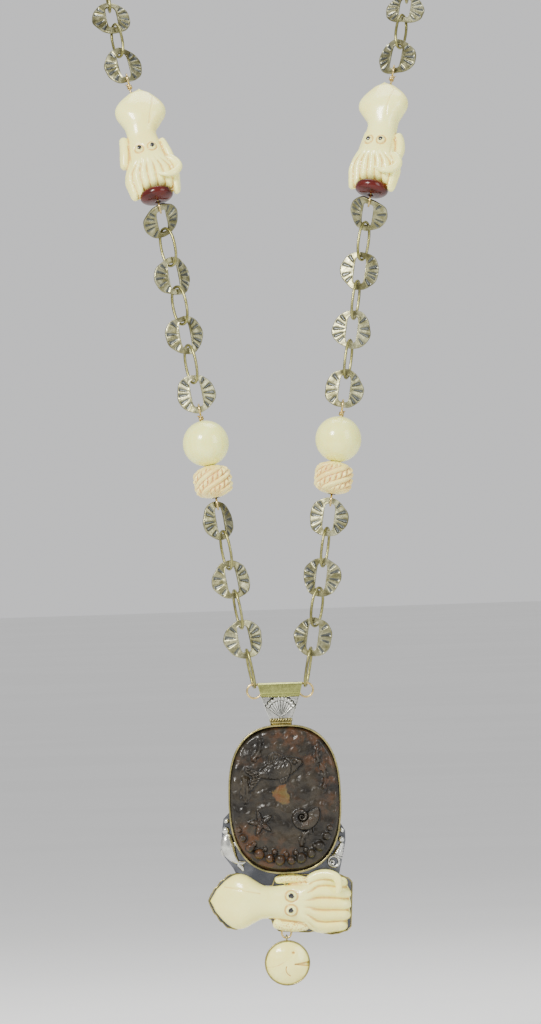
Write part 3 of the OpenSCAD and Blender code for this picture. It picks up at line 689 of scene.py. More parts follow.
def ray_dent(rays, turn, share, reach):
    """How deep the chisel has gone at a point on a disc's front."""
    dent = 0.0
    for angle, width, start, depth in rays:
        off = abs((turn - angle + math.pi) % (2 * math.pi) - math.pi) * reach
        half = 0.25 + width * share
        if off < half and start < share < RAY_END:
            tapered = smoothstep((share - start) / 0.14) * smoothstep((RAY_END - share) / 0.09)
            dent = max(dent, depth * tapered * smoothstep((half - off) / (0.75 * half)))
    return dent


def disc(bm, seed, place, around=150):
    """A bowed, slotted disc with broad chiselled rays from its slot to its edge."""
    dice = random.Random(seed)
    rays = chisel_rays(dice)
    tilt = dice.uniform(-0.05, 0.05)
    ends = len(DISC_SECTION)
    layer = bm.verts.layers.float.get("groove") or bm.verts.layers.float.new("groove")
    made = bmesh.ops.create_grid(bm, x_segments=around, y_segments=ends, size=1)["verts"]
    for vert in made:
        turn = (vert.co.x + 1) % 2 * math.pi
        share, face = DISC_SECTION[round((vert.co.y + 1) / 2 * ends) % ends]
        inner = slot_reach(turn)
        reach = inner + (disc_reach(turn, seed) - inner) * share
        x, z = reach * math.cos(turn), reach * math.sin(turn)
        dent = ray_dent(rays, turn, share, reach) if face > 0 else 0.0
        lip = 0.12 * smoothstep((0.2 - share) / 0.1) if face > 0 else 0
        ripple = 0.09 * noise.noise(Vector((x * 0.55 + seed * 7.3, z * 0.55, seed)))
        bow = 1.9 * (abs(x) / 7.8) ** 1.4 + tilt * z
        vert.co = place @ Vector((x, bow - face * (DISC_T / 2) - lip + dent - ripple, z))
        # The dent's depth, which the brass's finish turns into patina and painted shade.
        vert[layer] = dent * 1.7
    bmesh.ops.remove_doubles(bm, verts=made, dist=1e-4)


def oval(bm, seed, place, around=72, across=14):
    """An oval wire link with gently curved sides, a little flattened by the hammer."""
    half_long = (OVAL_LEN + OVAL_WIRE) / 2
    half_wide = (OVAL_W - OVAL_WIRE) / 2
    full = 2.25
    flattened = 0.94

    def middle(turn):
        across, up = fuller(math.cos(turn), full), fuller(math.sin(turn), full)
        return Vector((across * half_wide, 0, up * half_long))

    def shape(turn, roll):
        turn, roll = 2 * math.pi * turn, 2 * math.pi * roll
        here = middle(turn)
        ahead = (middle(turn + 0.02) - middle(turn - 0.02)).normalized()
        beside = ahead.cross(FORWARD)
        wire = OVAL_WIRE / 2 * (1.0 + 0.05 * noise.noise(here * 0.4 + Vector((seed * 3.1, 0, roll))))
        return place @ (here + beside * math.cos(roll) * wire + FORWARD * math.sin(roll) * wire * flattened)

    wrapped(bm, around, across, shape)


def strand_links(side):
    """The discs and ovals of the front, each a piece of its own."""
    counts = {"oval": 0, "disc": 0}
    for i, row in enumerate(LINKS):
        kind = row[0]
        counts[kind] += 1
        seed = i + (0 if side == "left" else 20)
        name = f"{side}_{kind}_{counts[kind]}"
        bm = bmesh.new()
        if kind == "disc":
            disc(bm, seed, link_frame(i, side))
        else:
            oval(bm, seed, link_frame(i, side))
        piece(f"{name}_link", bm, BRASS if kind == "disc" else WIRE_BRASS, nodes=[name])


def back_chain(side):
    """The stretch behind the neck in coarser links, discs and ovals joined as one piece."""
    bm = bmesh.new()
    for i in range(1, BACK_LINKS, 2):
        disc(bm, i + 40, back_frame(i, side), 96)
    for i in range(0, BACK_LINKS, 2):
        start = len(bm.faces)
        oval(bm, 60 + i, back_frame(i, side), 48, 10)
        for face in list(bm.faces)[start:]:
            face.material_index = 1
    piece(f"{side}_back_links", bm, [BRASS, WIRE_BRASS], nodes=[f"{side}_back_chain"])


# Bead groups: heights along a group's wire from the middle of its lower loop
LOOP_SEAT = LOOP_INNER / 2 + BEAD_WIRE - SINK
CARVED_Z = LOOP_SEAT + FIT + CARVED_H / 2
ROUND_Z = CARVED_Z + CARVED_H / 2 + ROUND_D / 2 - 0.15
RED_Z = LOOP_SEAT + FIT + RED_H / 2
SQUID_RECESS = 0.1 * SQUID_LEN
SQUID_Z = RED_Z + RED_H / 2 + FIT - SQUID_RECESS + SQUID_LEN / 2


def group_wire(name, frame_at, length, beads_top):
    """Gold wire through a group: a loop at each end, wrapped two or three times round its neck."""
    bm = bmesh.new()
    loop_r = (LOOP_INNER + BEAD_WIRE) / 2
    for z in (0, length):
        ring(bm, loop_r, BEAD_WIRE, frame_at @ Matrix.Translation((0, 0, z)) @ turned("Y", 90))
    stem = [(0, 0, loop_r), (0, 0, length / 2), (0, 0, length - loop_r)]
    limb(bm, stem, [BEAD_WIRE / 2] * 3, frame_at, rings=24, sides=12)
    coil_from = beads_top + 0.42
    coil_to = length - LOOP_SEAT + SINK - 0.2
    pitch, samples, coil_r, wire_r = 0.8, 14, 0.66, 0.38
    turns = max(2, round((coil_to - coil_from) / pitch))
    steps = turns * samples
    dice = random.Random(name)
    path = []
    for k in range(steps + 1):
        turn = 2 * math.pi * k / samples
        reach = coil_r + 0.07 * math.sin(turn * 0.37 + dice.random() * 0.5)
        rise = coil_from + (coil_to - coil_from) * k / steps
        path.append((reach * math.cos(turn), reach * math.sin(turn), rise))
    cut_end = (1.5, -0.9, coil_to + 0.35)
    limb(bm, path + [cut_end], [wire_r] * 4, frame_at, rings=steps + 8, sides=10)
    piece(f"{name}_run", bm, GOLD, nodes=[name])


def round_bead(side, frame_at):
    """A polished ball, its bore a little countersunk at both ends."""
    bm = bmesh.new()
    radius = ROUND_D / 2
    mouth = math.asin(BORE_R * 1.5 / radius)
    bore_end = radius * math.cos(mouth) - 0.5
    steps = 44
    turns = [mouth + (math.pi - 2 * mouth) * k / steps for k in range(steps + 1)]
    profile = [(radius * math.sin(a), -radius * math.cos(a)) for a in turns]
    profile += [(BORE_R, bore_end), (BORE_R, -bore_end)]
    lathe(bm, profile, 72, frame_at @ Matrix.Translation((0, 0, ROUND_Z)))
    piece(f"{side}_round_bone", bm, ROUND_BONE, nodes=[f"{side}_round_bead"])


def carved_bead(side, frame_at):
    """A barrel with slanting ridges, smooth and pearled in turn."""
    bm = bmesh.new()
    place = frame_at @ Matrix.Translation((0, 0, CARVED_Z)) @ turned("Z", -35) @ sided(side)
    bands, pearls = 4, 19
    slant = math.radians(467)
    belly_r, end_r = CARVED_D / 2 - 0.45, 1.6
    outside = 0.88
    grain = 7 if side == "left" else 1

    def shape(turn, roll):
        turn *= 2 * math.pi
        if roll > outside:
            t = 1 - (roll - outside) / (1 - outside) * 2
            rise = t * (CARVED_H / 2 - 0.5)
            return place @ Vector((BORE_R * math.cos(turn), BORE_R * math.sin(turn), rise))
        t = max(-1.0, min(1.0, roll / outside * 2 - 1))
        barrel = belly_r - (belly_r - end_r) * abs(t) ** 5
        phase = bands * turn - slant * t
        smooth_ridge = max(0, math.cos(phase)) ** 1.5
        pearl_ridge = max(0, -math.cos(phase)) ** 1.2
        pearl = 0.5 + 0.5 * math.cos(pearls * turn)
        lump = noise.noise(Vector((3 * math.cos(turn), 3 * math.sin(turn), 4 * t + grain)))
        fade = 1 - abs(t) ** 8
        reach = barrel + fade * (0.85 * smooth_ridge + pearl_ridge * pearl - 0.6 + 0.2 * lump)
        return place @ Vector((reach * math.cos(turn), reach * math.sin(turn), t * CARVED_H / 2))

    wrapped(bm, 190, 110, shape)
    bmesh.ops.recalc_face_normals(bm, faces=bm.faces)
    mark_grooves(bm, 14, 0.22)
    piece(f"{side}_carved_bone", bm, TAN_BONE, nodes=[f"{side}_carved_bead"])


def red_bead(side, frame_at):
    """A thick lens of resin on the wire."""
    bm = bmesh.new()
    half = RED_H / 2
    full = 2.5
    mouth, steps = 8, 40
    turns = [math.radians(mouth + (180 - 2 * mouth) * k / steps) for k in range(steps + 1)]
    profile = [(RED_D / 2 * fuller(math.sin(a), full), -half * fuller(math.cos(a), full)) for a in turns]
    profile += [(BORE_R, half * 0.9), (BORE_R, -half * 0.9)]
    lathe(bm, profile, 72)
    for vert in bm.verts:
        if vert.co.xy.length > 2:
            at = vert.co * 0.2 + Vector((4, 9, 2))
            vert.co += 0.1 * Vector((noise.noise(at), noise.noise(at.yzx), noise.noise(at.zxy)))
    bmesh.ops.transform(bm, matrix=frame_at @ Matrix.Translation((0, 0, RED_Z)), verts=bm.verts)
    piece(f"{side}_red_resin", bm, RED, nodes=[f"{side}_red_bead"])


# Squids, tentacles down, as seen from the front, at the size of the strands' own; the pendant's is
# stretched from it. Rows evenly spaced from the tentacles' ends up: half width, front, back
SQUID_BODY = [Vector(row) for row in (
    (9.3, 3.7, 2.9), (10.0, 4.3, 3.3), (10.5, 4.8, 3.7), (10.9, 5.3, 4.1), (10.2, 5.9, 4.4),
    (8.8, 6.5, 4.6), (7.4, 6.2, 4.8), (6.7, 5.9, 4.8), (6.2, 5.7, 4.7), (5.8, 5.4, 4.5),
    (6.1, 5.7, 4.6), (7.8, 6.3, 5.0), (9.6, 6.5, 5.2), (9.8, 5.6, 4.6), (8.1, 4.1, 3.4),
    (4.9, 2.4, 2.0), (1.3, 0.8, 0.7))]
EYE_X = 2.6
EYE_Y = -5.0
EYE_Z = -3.6
# Feet of the tentacles, from the left in the front view
BEAD_FEET = (-22.6, -22.2, -20.0, -19.5, -19.6, -20.6, -23.4)
LONG_FEET = (-22.8, -23.8, -24.0, -23.8, -22.4)
# The curled tentacle of each kind of squid, from its root to its end, and its radii
BEAD_CURL = [(7.4, -3.0, -8.2), (9.7, -3.2, -10.6), (10.7, -3.8, -13.4), (9.5, -5.4, -15.9),
             (6.8, -6.5, -17.0), (4.2, -6.6, -16.6), (2.2, -6.4, -15.4)]
LONG_CURL = [(7.6, -3.0, -8.4), (9.9, -3.2, -11.6), (10.7, -3.9, -15.2), (9.7, -5.2, -18.4),
             (6.8, -6.0, -19.4), (3.6, -5.8, -18.9)]
CURL_RADII = [1.5, 1.75, 1.75, 1.5, 1.2, 0.8, 0.55]


def squid_skin(bm, feet):
    """Mantle, neck, head and fluted tentacles in one closed skin."""
    lobes = len(feet)
    half_len = SQUID_LEN / 2
    full = 2.35
    toe = 2.4
    bundle = 6.0
    for vert in bmesh.ops.create_uvsphere(bm, u_segments=120, v_segments=170, radius=1)["verts"]:
        z = -half_len + SQUID_LEN * math.acos(min(1, max(-1, -vert.co.z))) / math.pi
        half, front, back = smooth_path(SQUID_BODY, (z + half_len) / SQUID_LEN)
        turn = math.atan2(vert.co.y, vert.co.x)
        across, deep = fuller(math.cos(turn), full), fuller(math.sin(turn), full)
        fan = bundle + (half - bundle) * smoothstep((-7 - z) / 6)
        place = (across * half / fan + 1) / 2 * lobes
        lobe = min(max(int(place), 0), lobes - 1)
        off = min(max(place - lobe - 0.5, -0.5), 0.5)
        crest = math.sqrt(1 - 0.97 * (2 * off) ** 2)
        flute = smoothstep((-6.5 - z) / 6) if abs(across * half) < fan else 0
        y = deep * (back if deep > 0 else front)
        dip = 12.0 / lobes * flute * (1 - crest) * smoothstep(abs(deep) / 0.3)
        y -= math.copysign(min(abs(y), dip), deep)
        foot = feet[lobe] + 9.5 / lobes * (1 - crest)
        if z < foot + toe:
            y *= math.sqrt(max(0, 1 - ((foot + toe - z) / toe) ** 2)) if z > foot else 0
            z = max(z, foot)
        top = smoothstep((half_len - z) / 2.4) ** 0.5
        vert.co = (across * half * top, y * top, z)


def carved_squid(feet, curl, slab, arm, eye_r, ring_depth):
    """The skin melted together with its arms, curl and eyeballs, with lines and eye rings cut in."""
    bm = bmesh.new()
    squid_skin(bm, feet)
    limb(bm, slab, [1.9, 2.0, 1.95, 1.7], deep=1.35)
    limb(bm, arm, [1.35, 1.65, 1.7, 1.3], deep=1.35)
    limb(bm, curl, CURL_RADII[:len(curl)], rings=70)
    for s in (1, -1):
        bmesh.ops.create_uvsphere(bm, u_segments=32, v_segments=24, radius=eye_r,
                                  matrix=Matrix.Translation((s * EYE_X, EYE_Y, EYE_Z)))
    voxel = 0.26
    carved = melted(bm, voxel, 2)
    engrave(carved, SQUID_LINES, 0.5, 0.2)
    engrave(carved, eye_rings(eye_r + 0.1), 0.5, ring_depth)
    return carved


def eye_rings(radius):
    """A circle round each eye in the front view."""
    turns = [math.radians(a) for a in range(0, 361, 15)]
    return [[Vector((s * EYE_X + radius * math.cos(a), EYE_Z + radius * math.sin(a))) for a in turns]
            for s in (1, -1)]


# Lines cut into the mantle and beside the head, in the front view
SQUID_LINES = [[Vector(p) for p in line] for line in (
    [(5.2, 19.0), (4.6, 15.0), (3.8, 11.0), (3.2, 7.0)],
    [(-6.4, -0.5), (-6.6, -4.0), (-6.9, -8.0)],
    [(6.3, -1.5), (6.5, -5.0), (6.8, -8.5)])]


def bent(bm, degrees):
    """Leans the mantle over sideways from the neck upward."""
    neck, pivot = 1, 4
    for vert in bm.verts:
        angle = math.radians(degrees) * smoothstep((vert.co.z - neck) / 7)
        x, z = vert.co.x, vert.co.z - pivot
        vert.co.x = x * math.cos(angle) + z * math.sin(angle)
        vert.co.z = pivot + z * math.cos(angle) - x * math.sin(angle)


def pupils(place, size, seed, eye_r):
    """Two ragged black pupils, let into the front of the eyes."""
    bm = bmesh.new()
    dice = random.Random(seed)
    corners = 14
    for s in (1, -1):
        wobble = [dice.uniform(0.82, 1.15) for _ in range(corners)]
        middle = Vector((s * EYE_X + 0.1, EYE_Y - eye_r + 0.14, EYE_Z + 0.1))
        for vert in bmesh.ops.create_uvsphere(bm, u_segments=28, v_segments=14, radius=1)["verts"]:
            turn = math.atan2(vert.co.z, vert.co.x) / (2 * math.pi) % 1 * corners
            k = int(turn)
            rim = wobble[k % corners] * (1 - turn + k) + wobble[(k + 1) % corners] * (turn - k)
            vert.co = middle + Vector((vert.co.x * size * rim, vert.co.y * 0.3, vert.co.z * size * rim))
    bmesh.ops.transform(bm, matrix=place, verts=bm.verts)
    return bm


# Arms beside the heads of the strands' squids, the mantle's lean and the turn on the wire
SLAB = {"left": [(-7.2, -0.8, 3.6), (-7.8, -1.0, -0.5), (-8.8, -1.0, -5.0), (-9.7, -0.8, -9.0)],
        "right": [(-5.8, 2.4, 3.4), (-6.4, 2.4, -0.5), (-7.2, 2.2, -5.0), (-8.0, 2.0, -9.0)]}
ARM = {"left": [(6.9, -1.4, 0.2), (7.7, -1.8, -3.6), (8.6, -2.0, -7.8), (8.9, -2.0, -10.8)],
       "right": [(6.8, 0.4, 1.6), (8.3, 0.6, -2.0), (8.9, 0.4, -6.0), (8.2, 0.0, -9.6)]}
LEAN = {"left": 10, "right": -8}
TURN = {"left": -4, "right": -24}


def squid_bead(side, frame_at):
    """The strand's squid, its mantle leaning, with its pupils."""
    place = frame_at @ Matrix.Translation((0, 0, SQUID_Z)) @ turned("Z", TURN[side]) @ sided(side)
    eye_r = 1.75
    bm = carved_squid(BEAD_FEET, BEAD_CURL, SLAB[side], ARM[side], eye_r, 0.3)
    mark_grooves(bm, 26, 0.5)
    bent(bm, LEAN[side])
    bmesh.ops.transform(bm, matrix=place, verts=bm.verts)
    piece(f"{side}_squid_carving", bm, BONE, nodes=[f"{side}_squid_bead"])
    black = pupils(place, 0.9, side, eye_r)
    piece(f"{side}_squid_pupils", black, INK, nodes=[f"{side}_squid_bead_eyes"])


def bead_groups(side):
    """Carved and round bead low on the strand, red bead and squid high up."""
    low, low_length = group_frame(side, 5, 6)
    carved_bead(side, low)
    round_bead(side, low)
    group_wire(f"{side}_round_bead_wire", low, low_length, ROUND_Z + ROUND_D / 2)
    high, high_length = group_frame(side, 12, 13)
    red_bead(side, high)
    squid_bead(side, high)
    group_wire(f"{side}_squid_bead_wire", high, high_length, SQUID_Z + SQUID_LEN / 2)


def clasp():
    """A plain bar with an open hook at each end."""
    hook_wire, hook_r = 1.3, 2.4
    hook_turn, steps = 290, 20
    reach = (strand_place(BACK_STATIONS[-1]) - NECK[3]).length - OVAL_LEN / 2 + PLAY
    place = Matrix.Translation(NECK[3])
    bm = bmesh.new()
    half = reach - 2 * hook_r + hook_wire
    limb(bm, [(-half, 0, 0), (0, 0, 0), (half, 0, 0)], [hook_wire / 2] * 3, place)
    for s in (1, -1):
        middle = s * (reach + hook_wire / 2 - hook_r)
        start = 180 if s > 0 else 0
        turns = [math.radians(start + hook_turn * k / steps) for k in range(steps + 1)]
        path = [(middle + hook_r * math.cos(a), 0, hook_r * math.sin(a)) for a in turns]
        limb(bm, path, [hook_wire / 2] * 3, place, rings=44)
    piece("clasp_hooks", bm, GOLD, nodes=["clasp"])


# Pendant: heights from the hinge line, depths from the back plate's front
PLATE_Y = 1.7
PLATE_T = 1.2
PLATE_BACK = PLATE_Y + PLATE_T
RIM_T = 0.75
RIM_FRONT = PLATE_Y - 4.7
STONE_X = 0.5
STONE_Z = -45.0
STONE_FULL = 2.6
STONE_EDGE_Y = PLATE_Y - 5.8
STONE_CROWN_Y = PLATE_Y - 8.0
SQUID_X = -2.4
SQUID_DROP = -85.3
SQUID_TIP = 3.2
DROP_X = -0.5
DROP_DROP = -108.8
DROP_Y = PLATE_Y - 1.4
DROP_R = DROP_D / 2
LOWER_RING_Z = -97.2
LOWER_RING_R = 1.85
LOWER_RING_WIRE = 0.8
PENDANT = Matrix.Translation(HINGE)
# The pendant's squid lies on its side, its mantle to the left, and is tipped a little
AT_SQUID = (PENDANT @ Matrix.Translation((SQUID_X, 0, SQUID_DROP)) @ turned("Y", SQUID_TIP)
            @ turned("Y", -90))
# Outline of that squid: share of its length from the tentacles' ends, share of its half width
SQUID_ROWS = [
    (0.0, 0.84), (0.04, 0.96), (0.10, 1.06), (0.14, 1.09), (0.18, 1.06), (0.23, 0.96), (0.27, 1.0),
    (0.30, 1.03), (0.40, 1.03), (0.50, 1.02), (0.535, 0.9), (0.56, 0.6), (0.59, 0.54), (0.65, 0.60),
    (0.71, 0.75), (0.76, 0.91), (0.81, 1.00), (0.86, 0.95), (0.91, 0.74), (0.955, 0.46), (0.985, 0.22),
    (1.0, 0.07),
]
# Motifs of the stone: place across and up from its middle, and turn in degrees
FISH = (-1.5, 12, 16)
NAUTILUS = (6.5, -7, 0)
STAR = (-9.5, -9, 14)
# Weed: middle of each bow across and up, its radius, and where it starts and ends in degrees
WEEDS = [(-24, 4, 9.5, -38, 38), (-6.4, 3.4, 9.5, 140, 212), (7, 8, 9, -35, 45),
         (20.6, 17, 7.5, 150, 212), (-17, 22, 8, -60, 20), (12, -18, 6, 100, 190)]
# Pebbles: place across and up, and radius
PEBBLES = [(-14, -18.5, 1.6), (-10.6, -21, 1.9), (-6.6, -22.8, 1.6), (-2.6, -23.6, 1.9), (1.8, -23.9, 1.5),
           (5.6, -23, 1.9), (9.6, -21.4, 1.6), (13, -18.6, 1.9), (-16.8, -14.6, 1.4), (15.8, -14.8, 1.5),
           (-12.4, -17, 1.0), (-4.5, -20.4, 1.1), (3.6, -20.9, 1.0), (11.2, -18.4, 1.0), (17.2, -11.6, 1.1),
           (-18.2, -11.4, 1.0), (-8.2, -19.2, 0.9), (0, -21.4, 0.9), (7.6, -19.9, 1.0)]


def stone_edge(share, grow):
    """The stone's outline, once round anticlockwise, moved outward by a distance."""
    turn = 2 * math.pi * share
    across = fuller(math.cos(turn), STONE_FULL) * (STONE_W / 2 + grow)
    up = fuller(math.sin(turn), STONE_FULL) * (STONE_H / 2 + grow)
    return Vector((STONE_X + across, 0, STONE_Z + up))


def from_motif(x, z, centre_x, centre_z, turn):
    """A point as seen from a motif turned anticlockwise in the front view."""
    a = math.radians(-turn)
    dx, dz = x - centre_x, z - centre_z
    return dx * math.cos(a) - dz * math.sin(a), dx * math.sin(a) + dz * math.cos(a)


def fish_height(x, z):
    """A plump fish with scales, gill, eye, a forked tail and a fin above and below."""
    x, z = from_motif(x, z, *FISH)
    half, tail_root, fork, tail_end = 9.9, -7.6, -11.2, -13.2
    arch = max(0, 1 - (x / half) ** 2)
    belly, top = 4.0 * arch, 3.9 * arch
    high = 0.0
    if abs(z) < belly:
        high = 1.7 * math.sqrt(1 - (z / belly) ** 2) ** 0.8 * smoothstep((half - abs(x)) / 1.5)
        scales = 0.5 + 0.5 * math.cos((x + 0.6 * math.cos(2.6 * z)) * 3.4)
        if -7 < x < 3.6:
            high += 0.22 * scales - 0.12
        gill = abs(x - 4.4 + 0.12 * z * z)
        high -= 0.5 * smoothstep(1 - gill / 0.35)
        eye = math.hypot(x - 6.2, z - 0.7)
        high += 0.55 * smoothstep(1 - eye / 0.85) - 0.5 * smoothstep(1 - abs(eye - 1.05) / 0.3)
    spread = (tail_root - x) * 0.72 + 0.8
    if tail_end < x < tail_root and abs(z) < spread:
        notch = smoothstep((abs(z) - (fork - x) * 1.2) / 0.6) if x < fork else 1
        high = max(high, notch * (0.95 + 0.22 * math.cos(5.5 * z)))
    if -4.5 < x < 4 and 0 < z - top < 2.6 * smoothstep((4 - x) / 4) * smoothstep((x + 4.5) / 2):
        high = max(high, 0.85 + 0.2 * math.cos(5 * (x - 0.5 * z)))
    if -1.5 < x < 3 and 0 < -z - top < 1.9 * smoothstep((3 - x) / 3):
        high = max(high, 0.8 + 0.2 * math.cos(5 * x))
    return high


def nautilus_height(x, z):
    """A shell coiled in a widening spiral, ribbed across."""
    x, z = from_motif(x, z, *NAUTILUS)
    mouth_r, core_r, growth = 7.6, 1.2, 0.17
    reach = math.hypot(x, z)
    turn = (math.atan2(z, x) - 0.5) % (2 * math.pi)
    whorl = math.exp(-growth * 2 * math.pi)
    edge = mouth_r * math.exp(-growth * (2 * math.pi - turn))
    inner = edge * whorl
    while reach < inner and edge > core_r:
        edge, inner = inner, inner * whorl
    if reach > edge:
        return 0.0
    across = (reach - (edge + inner) / 2) / ((edge - inner) / 2)
    coil = 1.15 + 0.55 * (1 - across * across)
    rib = math.cos(13 * (turn + 0.22 * across))
    return coil * smoothstep((edge - reach) / 0.5) + 0.12 * rib


def star_height(x, z):
    """A five-armed star, each arm ridged and dotted along its middle."""
    x, z = from_motif(x, z, *STAR)
    arm_r, half_arm = 5.6, 36
    reach = math.hypot(x, z)
    turn = (math.degrees(math.atan2(z, x)) - 90 + half_arm) % (2 * half_arm) - half_arm
    across = abs(turn) / half_arm
    edge = arm_r * (0.42 + 0.58 * (1 - across) ** 1.6)
    if reach > edge:
        return 0.0
    ridge = 1.25 - 0.55 * across
    dots = 0.16 * max(0, math.cos(4.4 * reach)) * max(0, 1 - 3.2 * across)
    return ridge * smoothstep((edge - reach) / 0.9) + dots


def weed_height(x, z):
    """Bowed stems whose leaves swell and narrow along them."""
    high = 0.0
    for centre_x, centre_z, radius, start, end in WEEDS:
        dx, dz = x - centre_x, z - centre_z
        off = abs(math.hypot(dx, dz) - radius)
        turn = math.degrees(math.atan2(dz, dx))
        turn = turn + 360 if turn < start - 20 else turn
        if start < turn < end:
            along_it = math.radians(turn - start) * radius
            taper = smoothstep((turn - start) / 12) * smoothstep((end - turn) / 12)
            leaf = 0.75 + 0.75 * abs(math.sin(along_it * 1.15)) * taper
            if off < leaf:
                high = max(high, (0.9 - 0.35 * (off / leaf) ** 2 + 0.2 * math.cos(3 * off)) * taper)
    return high


def pebble_height(x, z):
    """Rounded pebbles, the bigger the higher."""
    high = 0.0
    for pebble_x, pebble_z, radius in PEBBLES:
        off = math.hypot(x - pebble_x, z - pebble_z) / (radius * 1.1)
        if off < 1:
            high = max(high, (0.5 + 0.75 * radius) * math.sqrt(1 - off * off))
    return high


MOTIFS = (fish_height, nautilus_height, star_height, weed_height, pebble_height)


def stone():
    """A domed tablet carved with fish, shell, star, weed and pebbles over rippled water."""
    bm = bmesh.new()
    half_w, half_h = STONE_W / 2, STONE_H / 2
    fall = STONE_EDGE_Y - STONE_CROWN_Y
    grain_at = Vector((11.3, 4.7, 2.9))

    def shape(across, up):
        big = max(abs(across), abs(up))
        full_reach = (abs(across) ** STONE_FULL + abs(up) ** STONE_FULL) ** (1 / STONE_FULL)
        scale = big / full_reach if big > 0 else 1
        x, z = across * scale * half_w, up * scale * half_h
        dome = STONE_CROWN_Y + fall * (z / half_h) ** 2 * 0.8 + fall * (x / half_w) ** 2 * 0.25
        motif = max(height(x, z) for height in MOTIFS)
        water = 0.16 * math.sin(1.1 * z + 1.6 * math.sin(0.35 * x + 0.6)) if motif < 0.2 else 0
        grit = 0.3 * noise.noise(Vector((x, 0, z)) * 0.5 + grain_at)
        grit += 0.07 * noise.noise(Vector((x, 3, z)) * 1.6)
        edge = 1 - big
        shoulder = 1.3 * (1 - smoothstep(edge / 0.055)) ** 1.5
        rise = 0.35 * smoothstep(edge / 0.1)
        fade = smoothstep((edge - 0.01) / 0.06)
        y = dome + 1.2 - rise - fade * (motif * 1.15 + water + grit) + shoulder
        return PENDANT @ Vector((STONE_X + x, y, STONE_Z + z))

    panel(bm, 200, 266, shape)
    mark_grooves(bm, 12, 0.32)
    backed(bm, HINGE.y + PLATE_Y - FIT)
    centre = HINGE + Vector((STONE_X, STONE_CROWN_Y, STONE_Z))
    piece("stone_relief", bm, dark_stone(centre), "pendant", ["stone"])


def band(bm, outline, thick, front, back, around, place=PENDANT):
    """A thin upright wall along a closed outline, its front edge rounded."""
    middle = (front + back) / 2
    section = [(0, front + 0.25), (0.08, front + 0.07), (0.25, front), (0.75, front), (0.92, front + 0.07),
               (1, front + 0.25), (1, middle), (1, back), (0, back), (0, middle)]

    def shape(turn, roll):
        share, y = section[round(roll * len(section)) % len(section)]
        here = outline(turn)
        ahead = outline(turn + 0.002) - outline(turn - 0.002)
        outward = Vector((ahead.z, 0, -ahead.x)).normalized()
        point = here + outward * (share * thick + 0.06 * noise.noise(here * 0.2))
        y += 0.08 * noise.noise(here * 0.15 + Vector((5, 0, 0)))
        return place @ Vector((point.x, y, point.z))

    wrapped(bm, around, len(section), shape)


def squid_edge(turn):
    """Outline of the pendant's squid in its own front view, once round anticlockwise."""
    turn %= 1
    if turn < 0.5:
        share, side = turn * 2, 1
    else:
        share, side = (1 - turn) * 2, -1
    foot_end, tip_from = 0.035, 0.985
    if share < foot_end:
        across = side * SQUID_ROWS[0][1] * share / foot_end
        return Vector((across * LONG_SQUID_HALF, 0, 0.4 - LONG_SQUID_LEN / 2))
    along_it = (share - foot_end) / (1 - foot_end)
    for (a, half_a), (b, half_b) in zip(SQUID_ROWS, SQUID_ROWS[1:]):
        if along_it <= b:
            half = half_a + (half_b - half_a) * smoothstep((along_it - a) / (b - a))
            break
    if along_it > tip_from:
        half *= math.sqrt(max(0, (1 - along_it) / (1 - tip_from)))
    foot = 0.4 * smoothstep(1 - along_it / 0.05)
    return Vector((side * half * LONG_SQUID_HALF, 0, foot + (along_it - 0.5) * LONG_SQUID_LEN))


def flat_plate(bm, points, front, back, place=PENDANT):
    """An upright sheet with the outline of the given points, from a front to a back face."""
    verts = [bm.verts.new((x, front, z)) for x, z in points]
    face = bm.faces.new(verts)
    walls = bmesh.ops.extrude_face_region(bm, geom=[face])["geom"]
    moved = [v for v in walls if isinstance(v, bmesh.types.BMVert)]
    bmesh.ops.translate(bm, vec=(0, back - front, 0), verts=moved)
    bmesh.ops.transform(bm, matrix=place, verts=verts + moved)


# Outline of the sheet that joins the stone's setting to the squid's, across and up
WINGS = [(-17, -44), (-21.6, -50), (-23.6, -52), (-24.4, -57), (-24.6, -62), (-23.6, -67), (-20.4, -71.5),
         (-17.5, -78), (17.5, -80), (20.5, -76), (21.4, -72), (22.8, -66), (23.6, -62), (23.6, -58),
         (22.4, -56), (18, -48)]


def setting_plate():
    """Back plates of the stone and the squid and the sheet that joins them, one behind the other."""
    bm = bmesh.new()
    tray = [stone_edge(k / 120, RIM_T + FIT) for k in range(120)]
    flat_plate(bm, [(p.x, p.z) for p in tray], PLATE_Y + 0.3, PLATE_BACK)
    flat_plate(bm, WINGS, PLATE_Y, PLATE_BACK - 0.2)
    edge = [squid_edge(k / 160) * 1.01 for k in range(160)]
    edge = [p for k, p in enumerate(edge) if (p - edge[k - 1]).length > 0.05]
    flat_plate(bm, [(p.x, p.z) for p in edge], PLATE_Y + 0.15, PLATE_BACK - 0.1, AT_SQUID)
    piece("setting_plate", bm, PLATE_SILVER, "pendant", ["setting"], smooth=False)


def setting_rims():
    """The walls that hold the stone and the squid."""
    bm = bmesh.new()
    foot = PLATE_Y + PLATE_T / 2
    band(bm, lambda turn: stone_edge(turn, FIT), RIM_T, RIM_FRONT, foot, 220)
    band(bm, squid_edge, 0.5, PLATE_Y - 1.3, foot, 240, AT_SQUID)
    piece("setting_rims", bm, RIM_GOLD, "pendant")


# Half width of the bail by height
BAIL_HALF = [(0.5, 8.85), (-7, 6.95), (-10.4, 5.75), (-14.3, 4.2)]


def bail_half(z):
    for (top, half_top), (foot, half_foot) in zip(BAIL_HALF, BAIL_HALF[1:]):
        if z >= foot:
            return half_top + (half_foot - half_top) * min(1, max(0, (top - z) / (top - foot)))
    return BAIL_HALF[-1][1]


